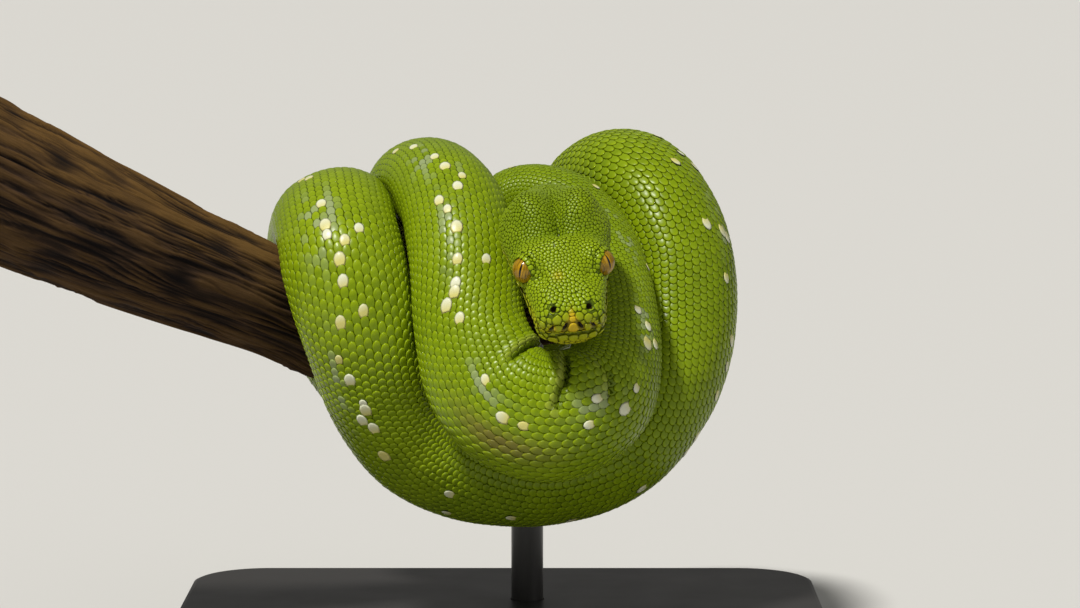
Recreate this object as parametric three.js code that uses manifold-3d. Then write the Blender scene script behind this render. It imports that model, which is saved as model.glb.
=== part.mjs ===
// Green tree python at rest on a perch: a still, life-size display model on a stand.
// Units are millimetres, +Z is up, -Y is the front. The origin is the middle of the base's underside.
import * as THREE from "three";
import { mergeVertices } from "three/addons/utils/BufferGeometryUtils.js";
import Module from "manifold-3d";

const wasm = await Module();
wasm.setup();

// ---------------------------------------------------------------- driving sizes

const CUT_GAP = 0.3; // between two lengths of the body, and round each fitted piece
const CONTACT_GAP = 1; // between coils that lie against each other, or on the branch
const STEP = 2; // spacing of the samples along the body's axis
const RELAXING = 12; // smoothing passes over those samples
const FREE_ARC = 48; // nearer than this along the body, two sections are neighbours
const TIGHTEST = 0.98; // share of the bend radius that the inside of a bend may fill

// The head lies along a straight axis, snout first, and the neck leaves it low at the back.
const SNOUT = new THREE.Vector3(21.3, -75, 110.2);
const HEAD_BACK = new THREE.Vector3(-0.127, 0.78, 0.612).normalize();
const HEAD_UP = square(new THREE.Vector3(-0.01, -0.625, 0.78), HEAD_BACK);
const HEAD_AXIS = [[0, 0], [12, 0], [24, 0], [36, 0.6], [47, 3.5], [57, 8.5]]; // station, drop
const HEAD_END = 56; // where the head meets the neck

// Where the body's axis runs, from the neck to the hips: x, y, z, and where it is steered the
// direction that the back faces.
const NECK_CURL = [
  [13, -19, 132], [12, -10, 124, [0.3, 0.3, 0.7]], [8, -3, 117], [0, 1, 113, [-0.1, 0.4, -0.9]],
  [-7, 2, 118], [-8.5, 3, 127, [-0.9, 0, 0.3]], [-3, 8, 134],
];
const RING_ROUND_HEAD = [
  [4, 10, 140.3, [-0.2, -0.2, 1]], [13, 7, 140.4], [21, 3, 138.2, [0.15, -0.4, 0.9]],
  [28, -3, 131, [0.5, -0.55, 0.7]], [33, -12, 121, [0.7, -0.7, 0.35]],
  [35, -23, 110, [0.75, -0.75, 0.1]], [35, -34, 98, [0.7, -0.8, -0.1]],
  [32, -44, 87, [0.5, -0.85, -0.2]],
];
const TURN_UNDER_CHIN = [
  [24, -51, 82, [0.2, -1, -0.2]], [13, -53, 79.6, [0, -1, -0.1]], [3, -51, 83, [-0.15, -1, -0.1]],
  [-4, -46, 90, [-0.25, -1, 0]],
];
const MIDDLE_LOOP = [
  [-8, -40, 102, [-0.3, -1, 0]], [-10, -33, 115, [-0.12, -1, 0.1]],
  [-11, -25, 127, [-0.05, -1, 0.3]], [-14, -12, 138, [-0.05, -0.7, 0.7]], [-20, 7, 144, [-0.1, 0, 1]],
  [-27, 28, 141.5, [-0.3, 0.7, 0.6]], [-26.5, 45, 128], [-19, 52, 113, [-0.3, 1, -0.2]],
];
const BACK_TURN = [
  [-10, 56, 102], [3, 60, 98, [0, 1, -0.6]], [15, 65, 102], [23, 69, 115, [0.1, 1, 0.1]],
];
const RIGHT_LOOP = [
  [27, 63, 131], [33, 46, 142, [0, 0.3, 1]], [42, 30, 143.5, [0.2, -0.2, 1]],
  [50, 20, 135, [0.7, -0.5, 0.6]], [55, 13, 121, [0.85, -0.55, 0.2]], [56, 8, 107, [0.8, -0.6, 0]],
  [54, 3, 93, [0.85, -0.55, -0.1]], [49, -1, 80, [0.85, -0.4, -0.4]],
];
const FRONT_TURN = [
  [40, -4, 68, [0.6, -0.4, -0.8]], [27, -6, 60, [0.3, -0.5, -1]], [12, -7, 57, [0, -0.5, -1]],
  [-4, -8, 58, [-0.2, -0.7, -0.9]], [-19, -10, 63, [-0.35, -0.85, -0.7]],
];
const LEFT_LOOP = [
  [-30, -15, 74, [-0.5, -1, -0.4]], [-36.6, -22, 89, [-0.5, -1, -0.1]],
  [-41, -28, 105, [-0.35, -1, 0]], [-46, -25, 121, [-0.2, -1, 0.35]],
  [-49, -13, 131, [-0.3, -0.6, 0.8]], [-51, 4, 134.5, [-0.4, 0.1, 1]],
  [-54, 23, 129, [-0.5, 0.8, 0.6]], [-55, 36, 114], [-49, 43, 95, [-0.4, 1, -0.3]],
];
const HIND_TURN = [
  [-37, 47, 77], [-22, 51, 65, [0, 0.9, -0.8]], [-5, 56, 59], [13, 60, 60, [0, 0.9, -0.9]],
  [29, 63, 66], [43, 66, 77, [0.4, 0.9, -0.5]],
];
// The tail winds once round the branch: x along the branch, angle round it from the back over the
// top, and distance of the tail's axis from the bark.
const TAIL_WINDING = [
  [53, -35, 11.6], [55, 10, 10.4], [55.5, 55, 9.4], [56.3, 100, 8.4],
  [57.6, 145, 7.5], [59, 190, 6.6], [60.2, 235, 5.5], [61, 275, 4.2],
];

// Half the width and half the height of the body, by distance from the snout.
const HALF_WIDTH = [
  [0, 10], [56, 10.5], [64, 9.3], [110, 9.3], [155, 10.3], [185, 12], [205, 14], [225, 17.6],
  [240, 19], [262, 18.6], [285, 17.2], [325, 16], [350, 15.3], [390, 15.3], [420, 16], [520, 18],
  [600, 18.8], [830, 18.8], [880, 18], [930, 15.5], [965, 12.5], [985, 10.8], [1015, 9], [1100, 2.8],
];
const HALF_HEIGHT = [
  [0, 8], [56, 9.3], [64, 9], [110, 9], [155, 10], [185, 10.8], [205, 11.8], [225, 12.6],
  [240, 13], [285, 13.4], [350, 13.5], [390, 13.3], [420, 13.8], [520, 15], [600, 15.3],
  [750, 15], [770, 14.2], [790, 14.2], [830, 15], [880, 14.6], [930, 13], [965, 11.5],
  [985, 10.5], [1015, 9], [1100, 2.8],
];
const BACK_RISE = 1.03; // the back stands a little higher than the ellipse
const BELLY_RISE = 0.95; // and the belly is flatter

// The head's outline in plan and in profile, by distance from the snout.
const HEAD_HALF_WIDTH = [
  [0, 9.4], [5, 9.8], [10, 10.7], [16, 11.9], [21, 13.1], [28, 14.6], [35, 15.9], [41, 16.6],
  [46, 15.8], [51, 13.2], [56, 10.6], [62, 9.4],
];
const HEAD_TOP = [
  [0, 4], [3, 4.4], [8, 5.5], [13, 6.6], [18, 8.4], [24, 10], [29, 9.8], [35, 11.4], [40, 12.2],
  [46, 10.8], [51, 9.4], [56, 9], [62, 9],
];
const HEAD_BOTTOM = [
  [0, 9.8], [3, 10], [10, 9.6], [20, 8.7], [35, 8], [45, 7.2], [51, 7.6], [56, 8.6], [62, 9],
];
const SNOUT_FACE = { sides: 4.5, top: 5, chin: 3 }; // how far back the blunt front runs
// Bumps and hollows of the head: height, station and its spread, angle from the top and its spread.
const HEAD_FORMS = {
  jawMuscle: [3.4, 39.5, 7, 35, 18],
  crownGroove: [-3.8, 38, 9.5, 0, 10],
  valleyBehindBrow: [-2.7, 30, 3.2, 0, 48],
  backOfForehead: [1.2, 24.3, 3.4, 0, 24],
  brow: [2, 22.3, 3.6, 51, 13],
  hollowBeforeEye: [-1.7, 15, 3.6, 56, 12],
  snoutEdge: [0.5, 8, 6, 50, 12],
  lip: [0.3, 14, 14, 108, 14],
  lowerLipCorner: [1, 5, 5.5, 119, 14],
};

const EYE = { radius: 4, station: 20, up: 3.7, side: 10.8 };

// The branch: x, y, z and radius along its axis, thick end first.
const BRANCH_AXIS = [
  [-159, -48, 155, 23.6], [-112, -30, 130.5, 19.6], [-71, -9, 110.5, 16.2], [-50, 4, 98.5, 15.2],
  [-31, 14, 97.5, 14.6], [-10, 24, 102, 14.5], [18, 35, 107, 14.5], [43, 43, 108, 14.4],
  [63, 50, 107, 14.2], [70, 52, 107, 14],
];
const BRANCH_SIDES = 18;

const BASE = { length: 200, width: 170, height: 12, corner: 22, bevel: 1.5 };
const ROD = { x: 8, y: 29, radius: 5, intoBase: 6, intoBranch: 6, sides: 56 };

const BODY_SIDES = 16;
const HEAD_SIDES = 28;
const RING_SPACING = 8.5;
// Named lengths of the animal and where each ends, from the snout.
const LENGTHS = [
  ["neck", 176], ["trunk_1", 292], ["trunk_2", 404], ["trunk_3", 512], ["trunk_4", 620],
  ["trunk_5", 716], ["trunk_6", 824], ["trunk_7", 930],
];

// ---------------------------------------------------------------- helpers

function square(direction, axis) {
  return direction.clone().addScaledVector(axis, -direction.dot(axis)).normalize();
}

// A smooth curve through [x, y] rows that never overshoots them.
function track(rows, x) {
  const last = rows.length - 1;
  if (x <= rows[0][0]) return rows[0][1];
  if (x >= rows[last][0]) return rows[last][1];
  let k = 0;
  while (rows[k + 1][0] < x) k += 1;
  const slope = (i) => (rows[i + 1][1] - rows[i][1]) / (rows[i + 1][0] - rows[i][0]);
  const tangent = (i) => {
    if (i === 0 || i === last) return 0;
    const [before, after] = [slope(i - 1), slope(i)];
    return before * after <= 0 ? 0 : (2 * before * after) / (before + after);
  };
  const h = rows[k + 1][0] - rows[k][0];
  const t = (x - rows[k][0]) / h;
  const rise = 3 * t * t - 2 * t * t * t;
  const lead = t * (1 - t) * (1 - t) * h * tangent(k) - t * t * (1 - t) * h * tangent(k + 1);
  return rows[k][1] * (1 - rise) + rows[k + 1][1] * rise + lead;
}

// Catmull-Rom curve through rows of numbers, `steps` points to a span.
function curveThrough(rows, steps) {
  const mirror = (a, b) => a.map((value, i) => 2 * value - b[i]);
  const last = rows.length - 1;
  const ends = [mirror(rows[0], rows[1]), ...rows, mirror(rows[last], rows[last - 1])];
  const points = [];
  for (let i = 1; i <= last; i += 1) {
    for (let j = 0; j < steps; j += 1) {
      const t = j / steps;
      points.push(ends[i].map((p1, c) => {
        const [p0, p2, p3] = [ends[i - 1][c], ends[i + 1][c], ends[i + 2][c]];
        const square2 = 2 * p0 - 5 * p1 + 4 * p2 - p3;
        const cubic = 3 * p1 - p0 - 3 * p2 + p3;
        return 0.5 * (2 * p1 + (p2 - p0) * t + square2 * t * t + cubic * t * t * t);
      }));
    }
  }
  points.push(rows[last]);
  return points;
}

// The same curve in equal steps of length; the first three numbers of a row are x, y and z.
function evenly(rows, step) {
  const along = [0];
  for (let i = 1; i < rows.length; i += 1) {
    const span = Math.hypot(...[0, 1, 2].map((c) => rows[i][c] - rows[i - 1][c]));
    along.push(along[i - 1] + span);
  }
  const total = along[along.length - 1];
  const count = Math.round(total / step);
  const even = [];
  let k = 0;
  for (let i = 0; i <= count; i += 1) {
    const s = (total * i) / count;
    while (k < rows.length - 2 && along[k + 1] < s) k += 1;
    const t = (s - along[k]) / (along[k + 1] - along[k]);
    even.push(rows[k].map((value, c) => value + (rows[k + 1][c] - value) * t));
  }
  return { rows: even, spacing: total / count };
}

function solidFrom(geometry) {
  geometry.deleteAttribute("normal");
  geometry.deleteAttribute("uv");
  const merged = mergeVertices(geometry, 1e-4);
  return new wasm.Manifold(new wasm.Mesh({
    numProp: 3,
    vertProperties: new Float32Array(merged.attributes.position.array),
    triVerts: new Uint32Array(merged.index.array),
  }));
}

function geometryFrom(solid) {
  const mesh = solid.getMesh();
  const geometry = new THREE.BufferGeometry();
  geometry.setAttribute("position", new THREE.BufferAttribute(mesh.vertProperties, 3));
  geometry.setIndex(new THREE.BufferAttribute(mesh.triVerts, 1));
  geometry.computeVertexNormals();
  return geometry;
}

// A closed skin over rings of points, each ring closed by a fan round its given middle.
function closedRings(rings, firstMiddle, lastMiddle) {
  const sides = rings[0].length;
  const points = [...rings.flat(), firstMiddle, lastMiddle];
  const [first, last] = [points.length - 2, points.length - 1];
  const faces = [];
  for (let j = 0; j < sides; j += 1) {
    const next = (j + 1) % sides;
    const top = (rings.length - 1) * sides;
    faces.push(first, next, j, last, top + j, top + next);
    for (let i = 0; i < rings.length - 1; i += 1) {
      const [a, b] = [i * sides + j, i * sides + next];
      faces.push(a, b, b + sides, a, b + sides, a + sides);
    }
  }
  const geometry = new THREE.BufferGeometry().setFromPoints(points);
  geometry.setIndex(faces);
  geometry.computeVertexNormals();
  return geometry;
}

// ---------------------------------------------------------------- branch axis

function sampleBranch() {
  const { rows, spacing } = evenly(curveThrough(BRANCH_AXIS, 24), STEP);
  return rows.map((row, i) => {
    const [before, after] = [rows[Math.max(i - 1, 0)], rows[Math.min(i + 1, rows.length - 1)]];
    const point = new THREE.Vector3(...row);
    const along = new THREE.Vector3(...after).sub(new THREE.Vector3(...before)).normalize();
    const up = square(new THREE.Vector3(0, 0, 1), along);
    const back = new THREE.Vector3().crossVectors(up, along);
    return { s: i * spacing, point, along, up, back, radius: row[3] };
  });
}

const branch = sampleBranch();

function roundBranch(x, angle, offset) {
  const near = branch.reduce((a, b) => (Math.abs(b.point.x - x) < Math.abs(a.point.x - x) ? b : a));
  const turn = THREE.MathUtils.degToRad(angle);
  const out = near.back.clone().multiplyScalar(Math.cos(turn)).addScaledVector(near.up, Math.sin(turn));
  return { point: near.point.clone().addScaledVector(out, near.radius + offset), out };
}

// ---------------------------------------------------------------- the body's axis

function wayPoints() {
  const head = HEAD_AXIS.map(([s, drop]) => ({
    point: SNOUT.clone().addScaledVector(HEAD_BACK, s).addScaledVector(HEAD_UP, -drop),
    back: HEAD_UP,
  }));
  const body = [
    NECK_CURL, RING_ROUND_HEAD, TURN_UNDER_CHIN, MIDDLE_LOOP, BACK_TURN, RIGHT_LOOP, FRONT_TURN,
    LEFT_LOOP, HIND_TURN,
  ].flat().map(([x, y, z, back]) => ({
    point: new THREE.Vector3(x, y, z),
    back: back ? new THREE.Vector3(...back).normalize() : null,
  }));
  const tail = TAIL_WINDING.map(([x, angle, offset]) => {
    const { point, out } = roundBranch(x, angle, offset);
    return { point, back: out };
  });
  return [...head, ...body, ...tail];
}

// Fills in the back's direction between the way points that steer it.
function steer(points) {
  const set = points.map((p, i) => (p.back ? i : -1)).filter((i) => i >= 0);
  return points.map((p, i) => {
    if (p.back) return p.back;
    const before = Math.max(...set.filter((k) => k < i));
    const after = Math.min(...set.filter((k) => k > i));
    return points[before].back.clone().lerp(points[after].back, (i - before) / (after - before));
  });
}

function sampleBody() {
  const points = wayPoints();
  const backs = steer(points);
  const rows = points.map((p, i) => [...p.point.toArray(), ...backs[i].toArray()]);
  const first = evenly(curveThrough(rows, 16), STEP).rows;
  for (let pass = 0; pass < RELAXING; pass += 1) {
    const old = first.map((row) => row.slice(0, 3));
    for (let i = 1; i < first.length - 1; i += 1) {
      for (let c = 0; c < 3; c += 1) {
        first[i][c] = (old[i - 1][c] + 2 * old[i][c] + old[i + 1][c]) / 4;
      }
    }
  }
  const { rows: even, spacing } = evenly(first, STEP);
  const place = even.map((row) => new THREE.Vector3(row[0], row[1], row[2]));
  const along = place.map((_, i) => {
    const before = place[Math.max(i - 1, 0)];
    const after = place[Math.min(i + 1, place.length - 1)];
    return after.clone().sub(before).normalize();
  });
  return place.map((point, i) => {
    const up = square(new THREE.Vector3(...even[i].slice(3)), along[i]);
    const side = new THREE.Vector3().crossVectors(along[i], up);
    const before = Math.max(i - 1, 0);
    const after = Math.min(i + 1, place.length - 1);
    const bend = along[after].clone().sub(along[before]).divideScalar(spacing * (after - before));
    return { s: i * spacing, point, along: along[i], up, side, bend };
  });
}

const body = sampleBody();
const SPACING = body[1].s;
const BODY_END = body[body.length - 1].s;

// The frame at any station, between two samples.
function frameAt(s) {
  const place = Math.min(Math.max(s / SPACING, 0), body.length - 1.001);
  const k = Math.floor(place);
  const t = place - k;
  const [a, b] = [body[k], body[k + 1]];
  const mix = (key) => a[key].clone().lerp(b[key], t);
  return { s, point: mix("point"), up: mix("up"), side: mix("side"), bend: mix("bend") };
}

// ---------------------------------------------------------------- sections

function bump(x, middle, spread) {
  return Math.exp(-(((x - middle) / spread) ** 2));
}

function bluntFront(s, depth, power) {
  const t = Math.min(Math.max(1 - s / depth, 0), 1);
  return (1 - t ** power) ** (1 / power);
}

function ovalRadius(angle, halfWidth, up, down, power) {
  const height = Math.cos(angle) > 0 ? up : down;
  const x = Math.abs(Math.sin(angle)) / Math.max(halfWidth, 0.05);
  const y = Math.abs(Math.cos(angle)) / Math.max(height, 0.05);
  return (x ** power + y ** power) ** (-1 / power);
}

function trunkRadius(s, angle) {
  const power = Math.cos(angle) > 0 ? 2 : 2.25;
  const height = track(HALF_HEIGHT, s);
  return ovalRadius(angle, track(HALF_WIDTH, s), height * BACK_RISE, height * BELLY_RISE, power);
}

function headRadius(s, angle) {
  const fromTop = Math.abs(THREE.MathUtils.radToDeg(Math.atan2(Math.sin(angle), Math.cos(angle))));
  const plain = ovalRadius(
    angle,
    track(HEAD_HALF_WIDTH, s) * bluntFront(s, SNOUT_FACE.sides, 2.6),
    track(HEAD_TOP, s) * bluntFront(s, SNOUT_FACE.top, 1.9),
    track(HEAD_BOTTOM, s) * bluntFront(s, SNOUT_FACE.chin, 2.4),
    2 + 0.5 * bump(s, 6, 9),
  );
  const forms = Object.values(HEAD_FORMS).map(([height, station, run, turn, spread]) =>
    height * bump(s, station, run) * bump(fromTop, turn, spread));
  return plain + forms.reduce((sum, form) => sum + form, 0) * bluntFront(s, SNOUT_FACE.sides, 2.6);
}

function fullRadius(s, angle) {
  const toTrunk = THREE.MathUtils.smoothstep(s, 50, 60);
  if (toTrunk === 0) return headRadius(s, angle);
  if (toTrunk === 1) return trunkRadius(s, angle);
  return headRadius(s, angle) * (1 - toTrunk) + trunkRadius(s, angle) * toTrunk;
}

const widths = body.map((sample) => track(HALF_WIDTH, sample.s));

// How far a point lies outside the nearest other coil, less than nothing inside it.
function clearOfCoils(s, point) {
  let best = Infinity;
  let nearest = null;
  body.forEach((sample, i) => {
    if (Math.abs(sample.s - s) < FREE_ARC) return;
    const gap = sample.point.distanceTo(point) - widths[i];
    if (gap < best) [best, nearest] = [gap, sample];
  });
  if (best > 2) return best;
  const out = point.clone().sub(nearest.point);
  const [x, y] = [out.dot(nearest.side), out.dot(nearest.up)];
  return Math.hypot(x, y) - fullRadius(nearest.s, Math.atan2(x, y));
}

function clearOfBranch(point) {
  let best = Infinity;
  let nearest = null;
  branch.forEach((sample) => {
    const gap = sample.point.distanceTo(point);
    if (gap < best) [best, nearest] = [gap, sample];
  });
  const out = point.clone().sub(nearest.point);
  return out.addScaledVector(nearest.along, -out.dot(nearest.along)).length() - nearest.radius;
}

// The skin's distance from the axis: the full section, flattened where it bears on another coil,
// on the branch, or on itself inside a bend.
function skinRadius(frame, angle) {
  const out = frame.up.clone().multiplyScalar(Math.cos(angle))
    .addScaledVector(frame.side, Math.sin(angle));
  const inward = frame.bend.dot(out);
  const full = Math.min(fullRadius(frame.s, angle), inward > 0 ? TIGHTEST / inward : Infinity);
  const excess = (radius) => {
    const point = frame.point.clone().addScaledVector(out, radius);
    const coil = radius - full + CONTACT_GAP - clearOfCoils(frame.s, point);
    return Math.max(coil, CONTACT_GAP - clearOfBranch(point));
  };
  if (excess(full) <= 0) return full;
  let [low, high] = [0.25 * full, full];
  for (let i = 0; i < 12; i += 1) {
    const middle = (low + high) / 2;
    if (excess(middle) > 0) high = middle;
    else low = middle;
  }
  return low;
}

function ring(s, sides) {
  const frame = frameAt(s);
  return Array.from({ length: sides }, (_, j) => {
    const angle = (2 * Math.PI * j) / sides;
    const radius = skinRadius(frame, angle);
    return frame.point.clone()
      .addScaledVector(frame.up, Math.cos(angle) * radius)
      .addScaledVector(frame.side, Math.sin(angle) * radius);
  });
}

function bodyLength(from, to, sides) {
  const count = Math.max(2, Math.round((to - from) / RING_SPACING));
  const stations = Array.from({ length: count + 1 }, (_, i) => from + ((to - from) * i) / count);
  const rings = stations.map((s) => ring(s, sides));
  return closedRings(rings, frameAt(from).point, frameAt(to).point);
}

// ---------------------------------------------------------------- sub-parts

const SKIN = new THREE.MeshStandardMaterial({ color: 0x7fa81e, roughness: 0.5, metalness: 0 });
const IRIS = new THREE.MeshStandardMaterial({ color: 0xa8792a, roughness: 0.15, metalness: 0 });
const BARK = new THREE.MeshStandardMaterial({ color: 0x7a6248, roughness: 0.9, metalness: 0 });
const STAND = new THREE.MeshStandardMaterial({ color: 0x2b2a29, roughness: 0.5, metalness: 0 });

const model = new THREE.Group();

function add(name, geometry, material) {
  const mesh = new THREE.Mesh(geometry, material);
  mesh.name = name;
  model.add(mesh);
}

function eyeCentre(sign) {
  return SNOUT.clone()
    .addScaledVector(HEAD_BACK, EYE.station)
    .addScaledVector(HEAD_UP, EYE.up)
    .addScaledVector(new THREE.Vector3().crossVectors(HEAD_BACK, HEAD_UP), sign * EYE.side);
}

function ball(centre, radius) {
  const geometry = new THREE.SphereGeometry(radius, 20, 12);
  geometry.translate(...centre.toArray());
  return geometry;
}

function head() {
  const stations = [0.12, 0.5, 1.2, 2.2, 3.4, 5, 7.5, 10.5, 14, 17.5, 21, 24.5, 28, 31.5, 35, 38.5,
    42, 45.5, 49, 52.5, HEAD_END - CUT_GAP / 2];
  const rings = stations.map((s) => ring(s, HEAD_SIDES));
  let solid = solidFrom(closedRings(rings, SNOUT, frameAt(HEAD_END - CUT_GAP / 2).point));
  for (const sign of [-1, 1]) {
    solid = solid.subtract(solidFrom(ball(eyeCentre(sign), EYE.radius + CUT_GAP)));
  }
  return geometryFrom(solid);
}

add("head", head(), SKIN);
add("eye_left", ball(eyeCentre(1), EYE.radius), IRIS);
add("eye_right", ball(eyeCentre(-1), EYE.radius), IRIS);

let from = HEAD_END;
for (const [name, to] of [...LENGTHS, ["tail", BODY_END + CUT_GAP / 2]]) {
  add(name, bodyLength(from + CUT_GAP / 2, to - CUT_GAP / 2, BODY_SIDES), SKIN);
  from = to;
}

function branchWood() {
  const step = 5;
  const picked = branch.filter((_, i) => i % step === 0 || i === branch.length - 1);
  const rings = picked.map(({ point, up, back, radius }) =>
    Array.from({ length: BRANCH_SIDES }, (_, j) => {
      const angle = (2 * Math.PI * j) / BRANCH_SIDES;
      return point.clone()
        .addScaledVector(up, Math.cos(angle) * radius)
        .addScaledVector(back, -Math.sin(angle) * radius);
    }));
  return closedRings(rings, picked[0].point, picked[picked.length - 1].point);
}

function upright(radius, from, to) {
  const geometry = new THREE.CylinderGeometry(radius, radius, to - from, ROD.sides);
  geometry.rotateX(Math.PI / 2);
  geometry.translate(ROD.x, ROD.y, (from + to) / 2);
  return geometry;
}

function baseBlock() {
  const [x, y, r] = [BASE.length / 2 - BASE.bevel, BASE.width / 2 - BASE.bevel, BASE.corner];
  const outline = new THREE.Shape();
  outline.moveTo(r - x, -y);
  outline.lineTo(x - r, -y).absarc(x - r, r - y, r, -Math.PI / 2, 0);
  outline.lineTo(x, y - r).absarc(x - r, y - r, r, 0, Math.PI / 2);
  outline.lineTo(r - x, y).absarc(r - x, y - r, r, Math.PI / 2, Math.PI);
  outline.lineTo(-x, r - y).absarc(r - x, r - y, r, Math.PI, 1.5 * Math.PI);
  const geometry = new THREE.ExtrudeGeometry(outline, {
    depth: BASE.height - 2 * BASE.bevel,
    bevelThickness: BASE.bevel,
    bevelSize: BASE.bevel,
    bevelSegments: 2,
    curveSegments: 10,
  });
  geometry.translate(0, 0, BASE.bevel);
  return geometry;
}

const overRod = branch.reduce((a, b) =>
  (Math.abs(b.point.x - ROD.x) < Math.abs(a.point.x - ROD.x) ? b : a));
const rodTop = overRod.point.z - overRod.radius + ROD.intoBranch;
const rodFoot = BASE.height - ROD.intoBase;
const wood = solidFrom(branchWood())
  .subtract(solidFrom(upright(ROD.radius + CUT_GAP, rodTop - 3 * ROD.intoBranch, rodTop + CUT_GAP)));
const block = solidFrom(baseBlock())
  .subtract(solidFrom(upright(ROD.radius + CUT_GAP, rodFoot - CUT_GAP, 2 * BASE.height)));

add("branch", geometryFrom(wood), BARK);
add("stand_rod", upright(ROD.radius, rodFoot, rodTop), STAND);
add("stand_base", geometryFrom(block), STAND);

export default model;
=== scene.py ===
"""A green tree python coiled on its perch, on a display stand.

Lengths in this file are millimetres. A piece's vertices are turned to metres when it is made.
"""

import functools
import math

import bpy
import numpy as np
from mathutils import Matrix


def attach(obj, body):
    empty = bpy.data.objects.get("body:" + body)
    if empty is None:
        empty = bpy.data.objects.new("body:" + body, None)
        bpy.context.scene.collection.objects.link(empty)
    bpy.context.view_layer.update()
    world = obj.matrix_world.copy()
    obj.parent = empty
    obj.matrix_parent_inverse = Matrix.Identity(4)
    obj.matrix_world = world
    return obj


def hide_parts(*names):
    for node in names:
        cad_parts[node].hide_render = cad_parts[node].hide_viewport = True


bl_info = {
    "name": "Green Tree Python on a Perch",
    "version": (1, 0, 0),
    "blender": (4, 5, 0),
    "location": "View3D > Sidebar > Python",
    "description": "Makes the skin, scales, eyes, perch and stand of a coiled tree python",
    "category": "Object",
}

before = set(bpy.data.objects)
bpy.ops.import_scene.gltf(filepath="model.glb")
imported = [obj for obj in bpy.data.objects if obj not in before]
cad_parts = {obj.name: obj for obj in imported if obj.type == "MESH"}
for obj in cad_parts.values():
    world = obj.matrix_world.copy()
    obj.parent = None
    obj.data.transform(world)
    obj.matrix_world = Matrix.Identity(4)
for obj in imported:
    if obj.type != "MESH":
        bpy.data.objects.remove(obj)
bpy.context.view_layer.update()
MM = 0.001

# ---------------------------------------------------------------- sizes of the body

CONTACT_GAP = 0.55  # between the tops of the scales of coils that lie against each other
STEP = 2.0
RELAXING = 12  # rounds in which the axis is smoothed
FREE_ARC = 48.0  # length of body either way that doesn't count as another coil
TIGHTEST = 0.98  # of the radius of a bend, how far the body's inner side may reach

SNOUT = np.array((21.3, -75.0, 110.2))
HEAD_BACK = np.array((-0.127, 0.78, 0.612))
HEAD_UP = np.array((-0.01, -0.625, 0.78))
HEAD_AXIS = ((0, 0), (12, 0), (24, 0), (36, 0.6), (47, 3.5), (57, 8.5))
HEAD_END = 54.0

# Where the body's axis runs: x, y, z, and where it is steered the way the back faces.
NECK_CURL = (
    (13, -19, 132), (12, -10, 124, (0.3, 0.3, 0.7)), (8, -3, 117),
    (0, 1, 113, (-0.1, 0.4, -0.9)), (-7, 2, 118), (-8.5, 3, 127, (-0.9, 0, 0.3)), (-3, 8, 134),
)
RING_ROUND_HEAD = (
    (4, 10, 140.3, (-0.2, -0.2, 1)), (13, 7, 140.4), (21, 3, 138.2, (0.15, -0.4, 0.9)),
    (28, -3, 131, (0.5, -0.55, 0.7)), (33, -12, 121, (0.7, -0.7, 0.35)),
    (35, -23, 110, (0.75, -0.75, 0.1)), (35, -34, 98, (0.7, -0.8, -0.1)),
    (32, -44, 87, (0.5, -0.85, -0.2)),
)
TURN_UNDER_CHIN = (
    (24, -51, 82, (0.2, -1, -0.2)), (13, -53, 79.6, (0, -1, -0.1)),
    (3, -51, 83, (-0.15, -1, -0.1)), (-4, -46, 90, (-0.25, -1, 0)),
)
MIDDLE_LOOP = (
    (-8, -40, 102, (-0.3, -1, 0)), (-10, -33, 115, (-0.12, -1, 0.1)),
    (-11, -25, 127, (-0.05, -1, 0.3)), (-14, -12, 138, (-0.05, -0.7, 0.7)),
    (-20, 7, 144, (-0.1, 0, 1)), (-27, 28, 141.5, (-0.3, 0.7, 0.6)), (-26.5, 45, 128),
    (-19, 52, 113, (-0.3, 1, -0.2)),
)
BACK_TURN = (
    (-10, 56, 102), (3, 60, 98, (0, 1, -0.6)), (15, 65, 102), (23, 69, 115, (0.1, 1, 0.1)),
)
RIGHT_LOOP = (
    (27, 63, 131), (33, 46, 142, (0, 0.3, 1)), (42, 30, 143.5, (0.2, -0.2, 1)),
    (50, 20, 135, (0.7, -0.5, 0.6)), (55, 13, 121, (0.85, -0.55, 0.2)),
    (56, 8, 107, (0.8, -0.6, 0)), (54, 3, 93, (0.85, -0.55, -0.1)),
    (49, -1, 80, (0.85, -0.4, -0.4)),
)
FRONT_TURN = (
    (40, -4, 68, (0.6, -0.4, -0.8)), (27, -6, 60, (0.3, -0.5, -1)), (12, -7, 57, (0, -0.5, -1)),
    (-4, -8, 58, (-0.2, -0.7, -0.9)), (-19, -10, 63, (-0.35, -0.85, -0.7)),
)
LEFT_LOOP = (
    (-30, -15, 74, (-0.5, -1, -0.4)), (-36.6, -22, 89, (-0.5, -1, -0.1)),
    (-41, -28, 105, (-0.35, -1, 0)), (-46, -25, 121, (-0.2, -1, 0.35)),
    (-49, -13, 131, (-0.3, -0.6, 0.8)), (-51, 4, 134.5, (-0.4, 0.1, 1)),
    (-54, 23, 129, (-0.5, 0.8, 0.6)), (-55, 36, 114), (-49, 43, 95, (-0.4, 1, -0.3)),
)
HIND_TURN = (
    (-37, 47, 77), (-22, 51, 65, (0, 0.9, -0.8)), (-5, 56, 59), (13, 60, 60, (0, 0.9, -0.9)),
    (29, 63, 66), (43, 66, 77, (0.4, 0.9, -0.5)),
)
# Along the branch, angle round it from the back over the top, distance from the bark.
TAIL_WINDING = (
    (53, -35, 11.6), (55, 10, 10.4), (55.5, 55, 9.4), (56.3, 100, 8.4),
    (57.6, 145, 7.5), (59, 190, 6.6), (60.2, 235, 5.5), (61, 275, 4.2),
)

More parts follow.
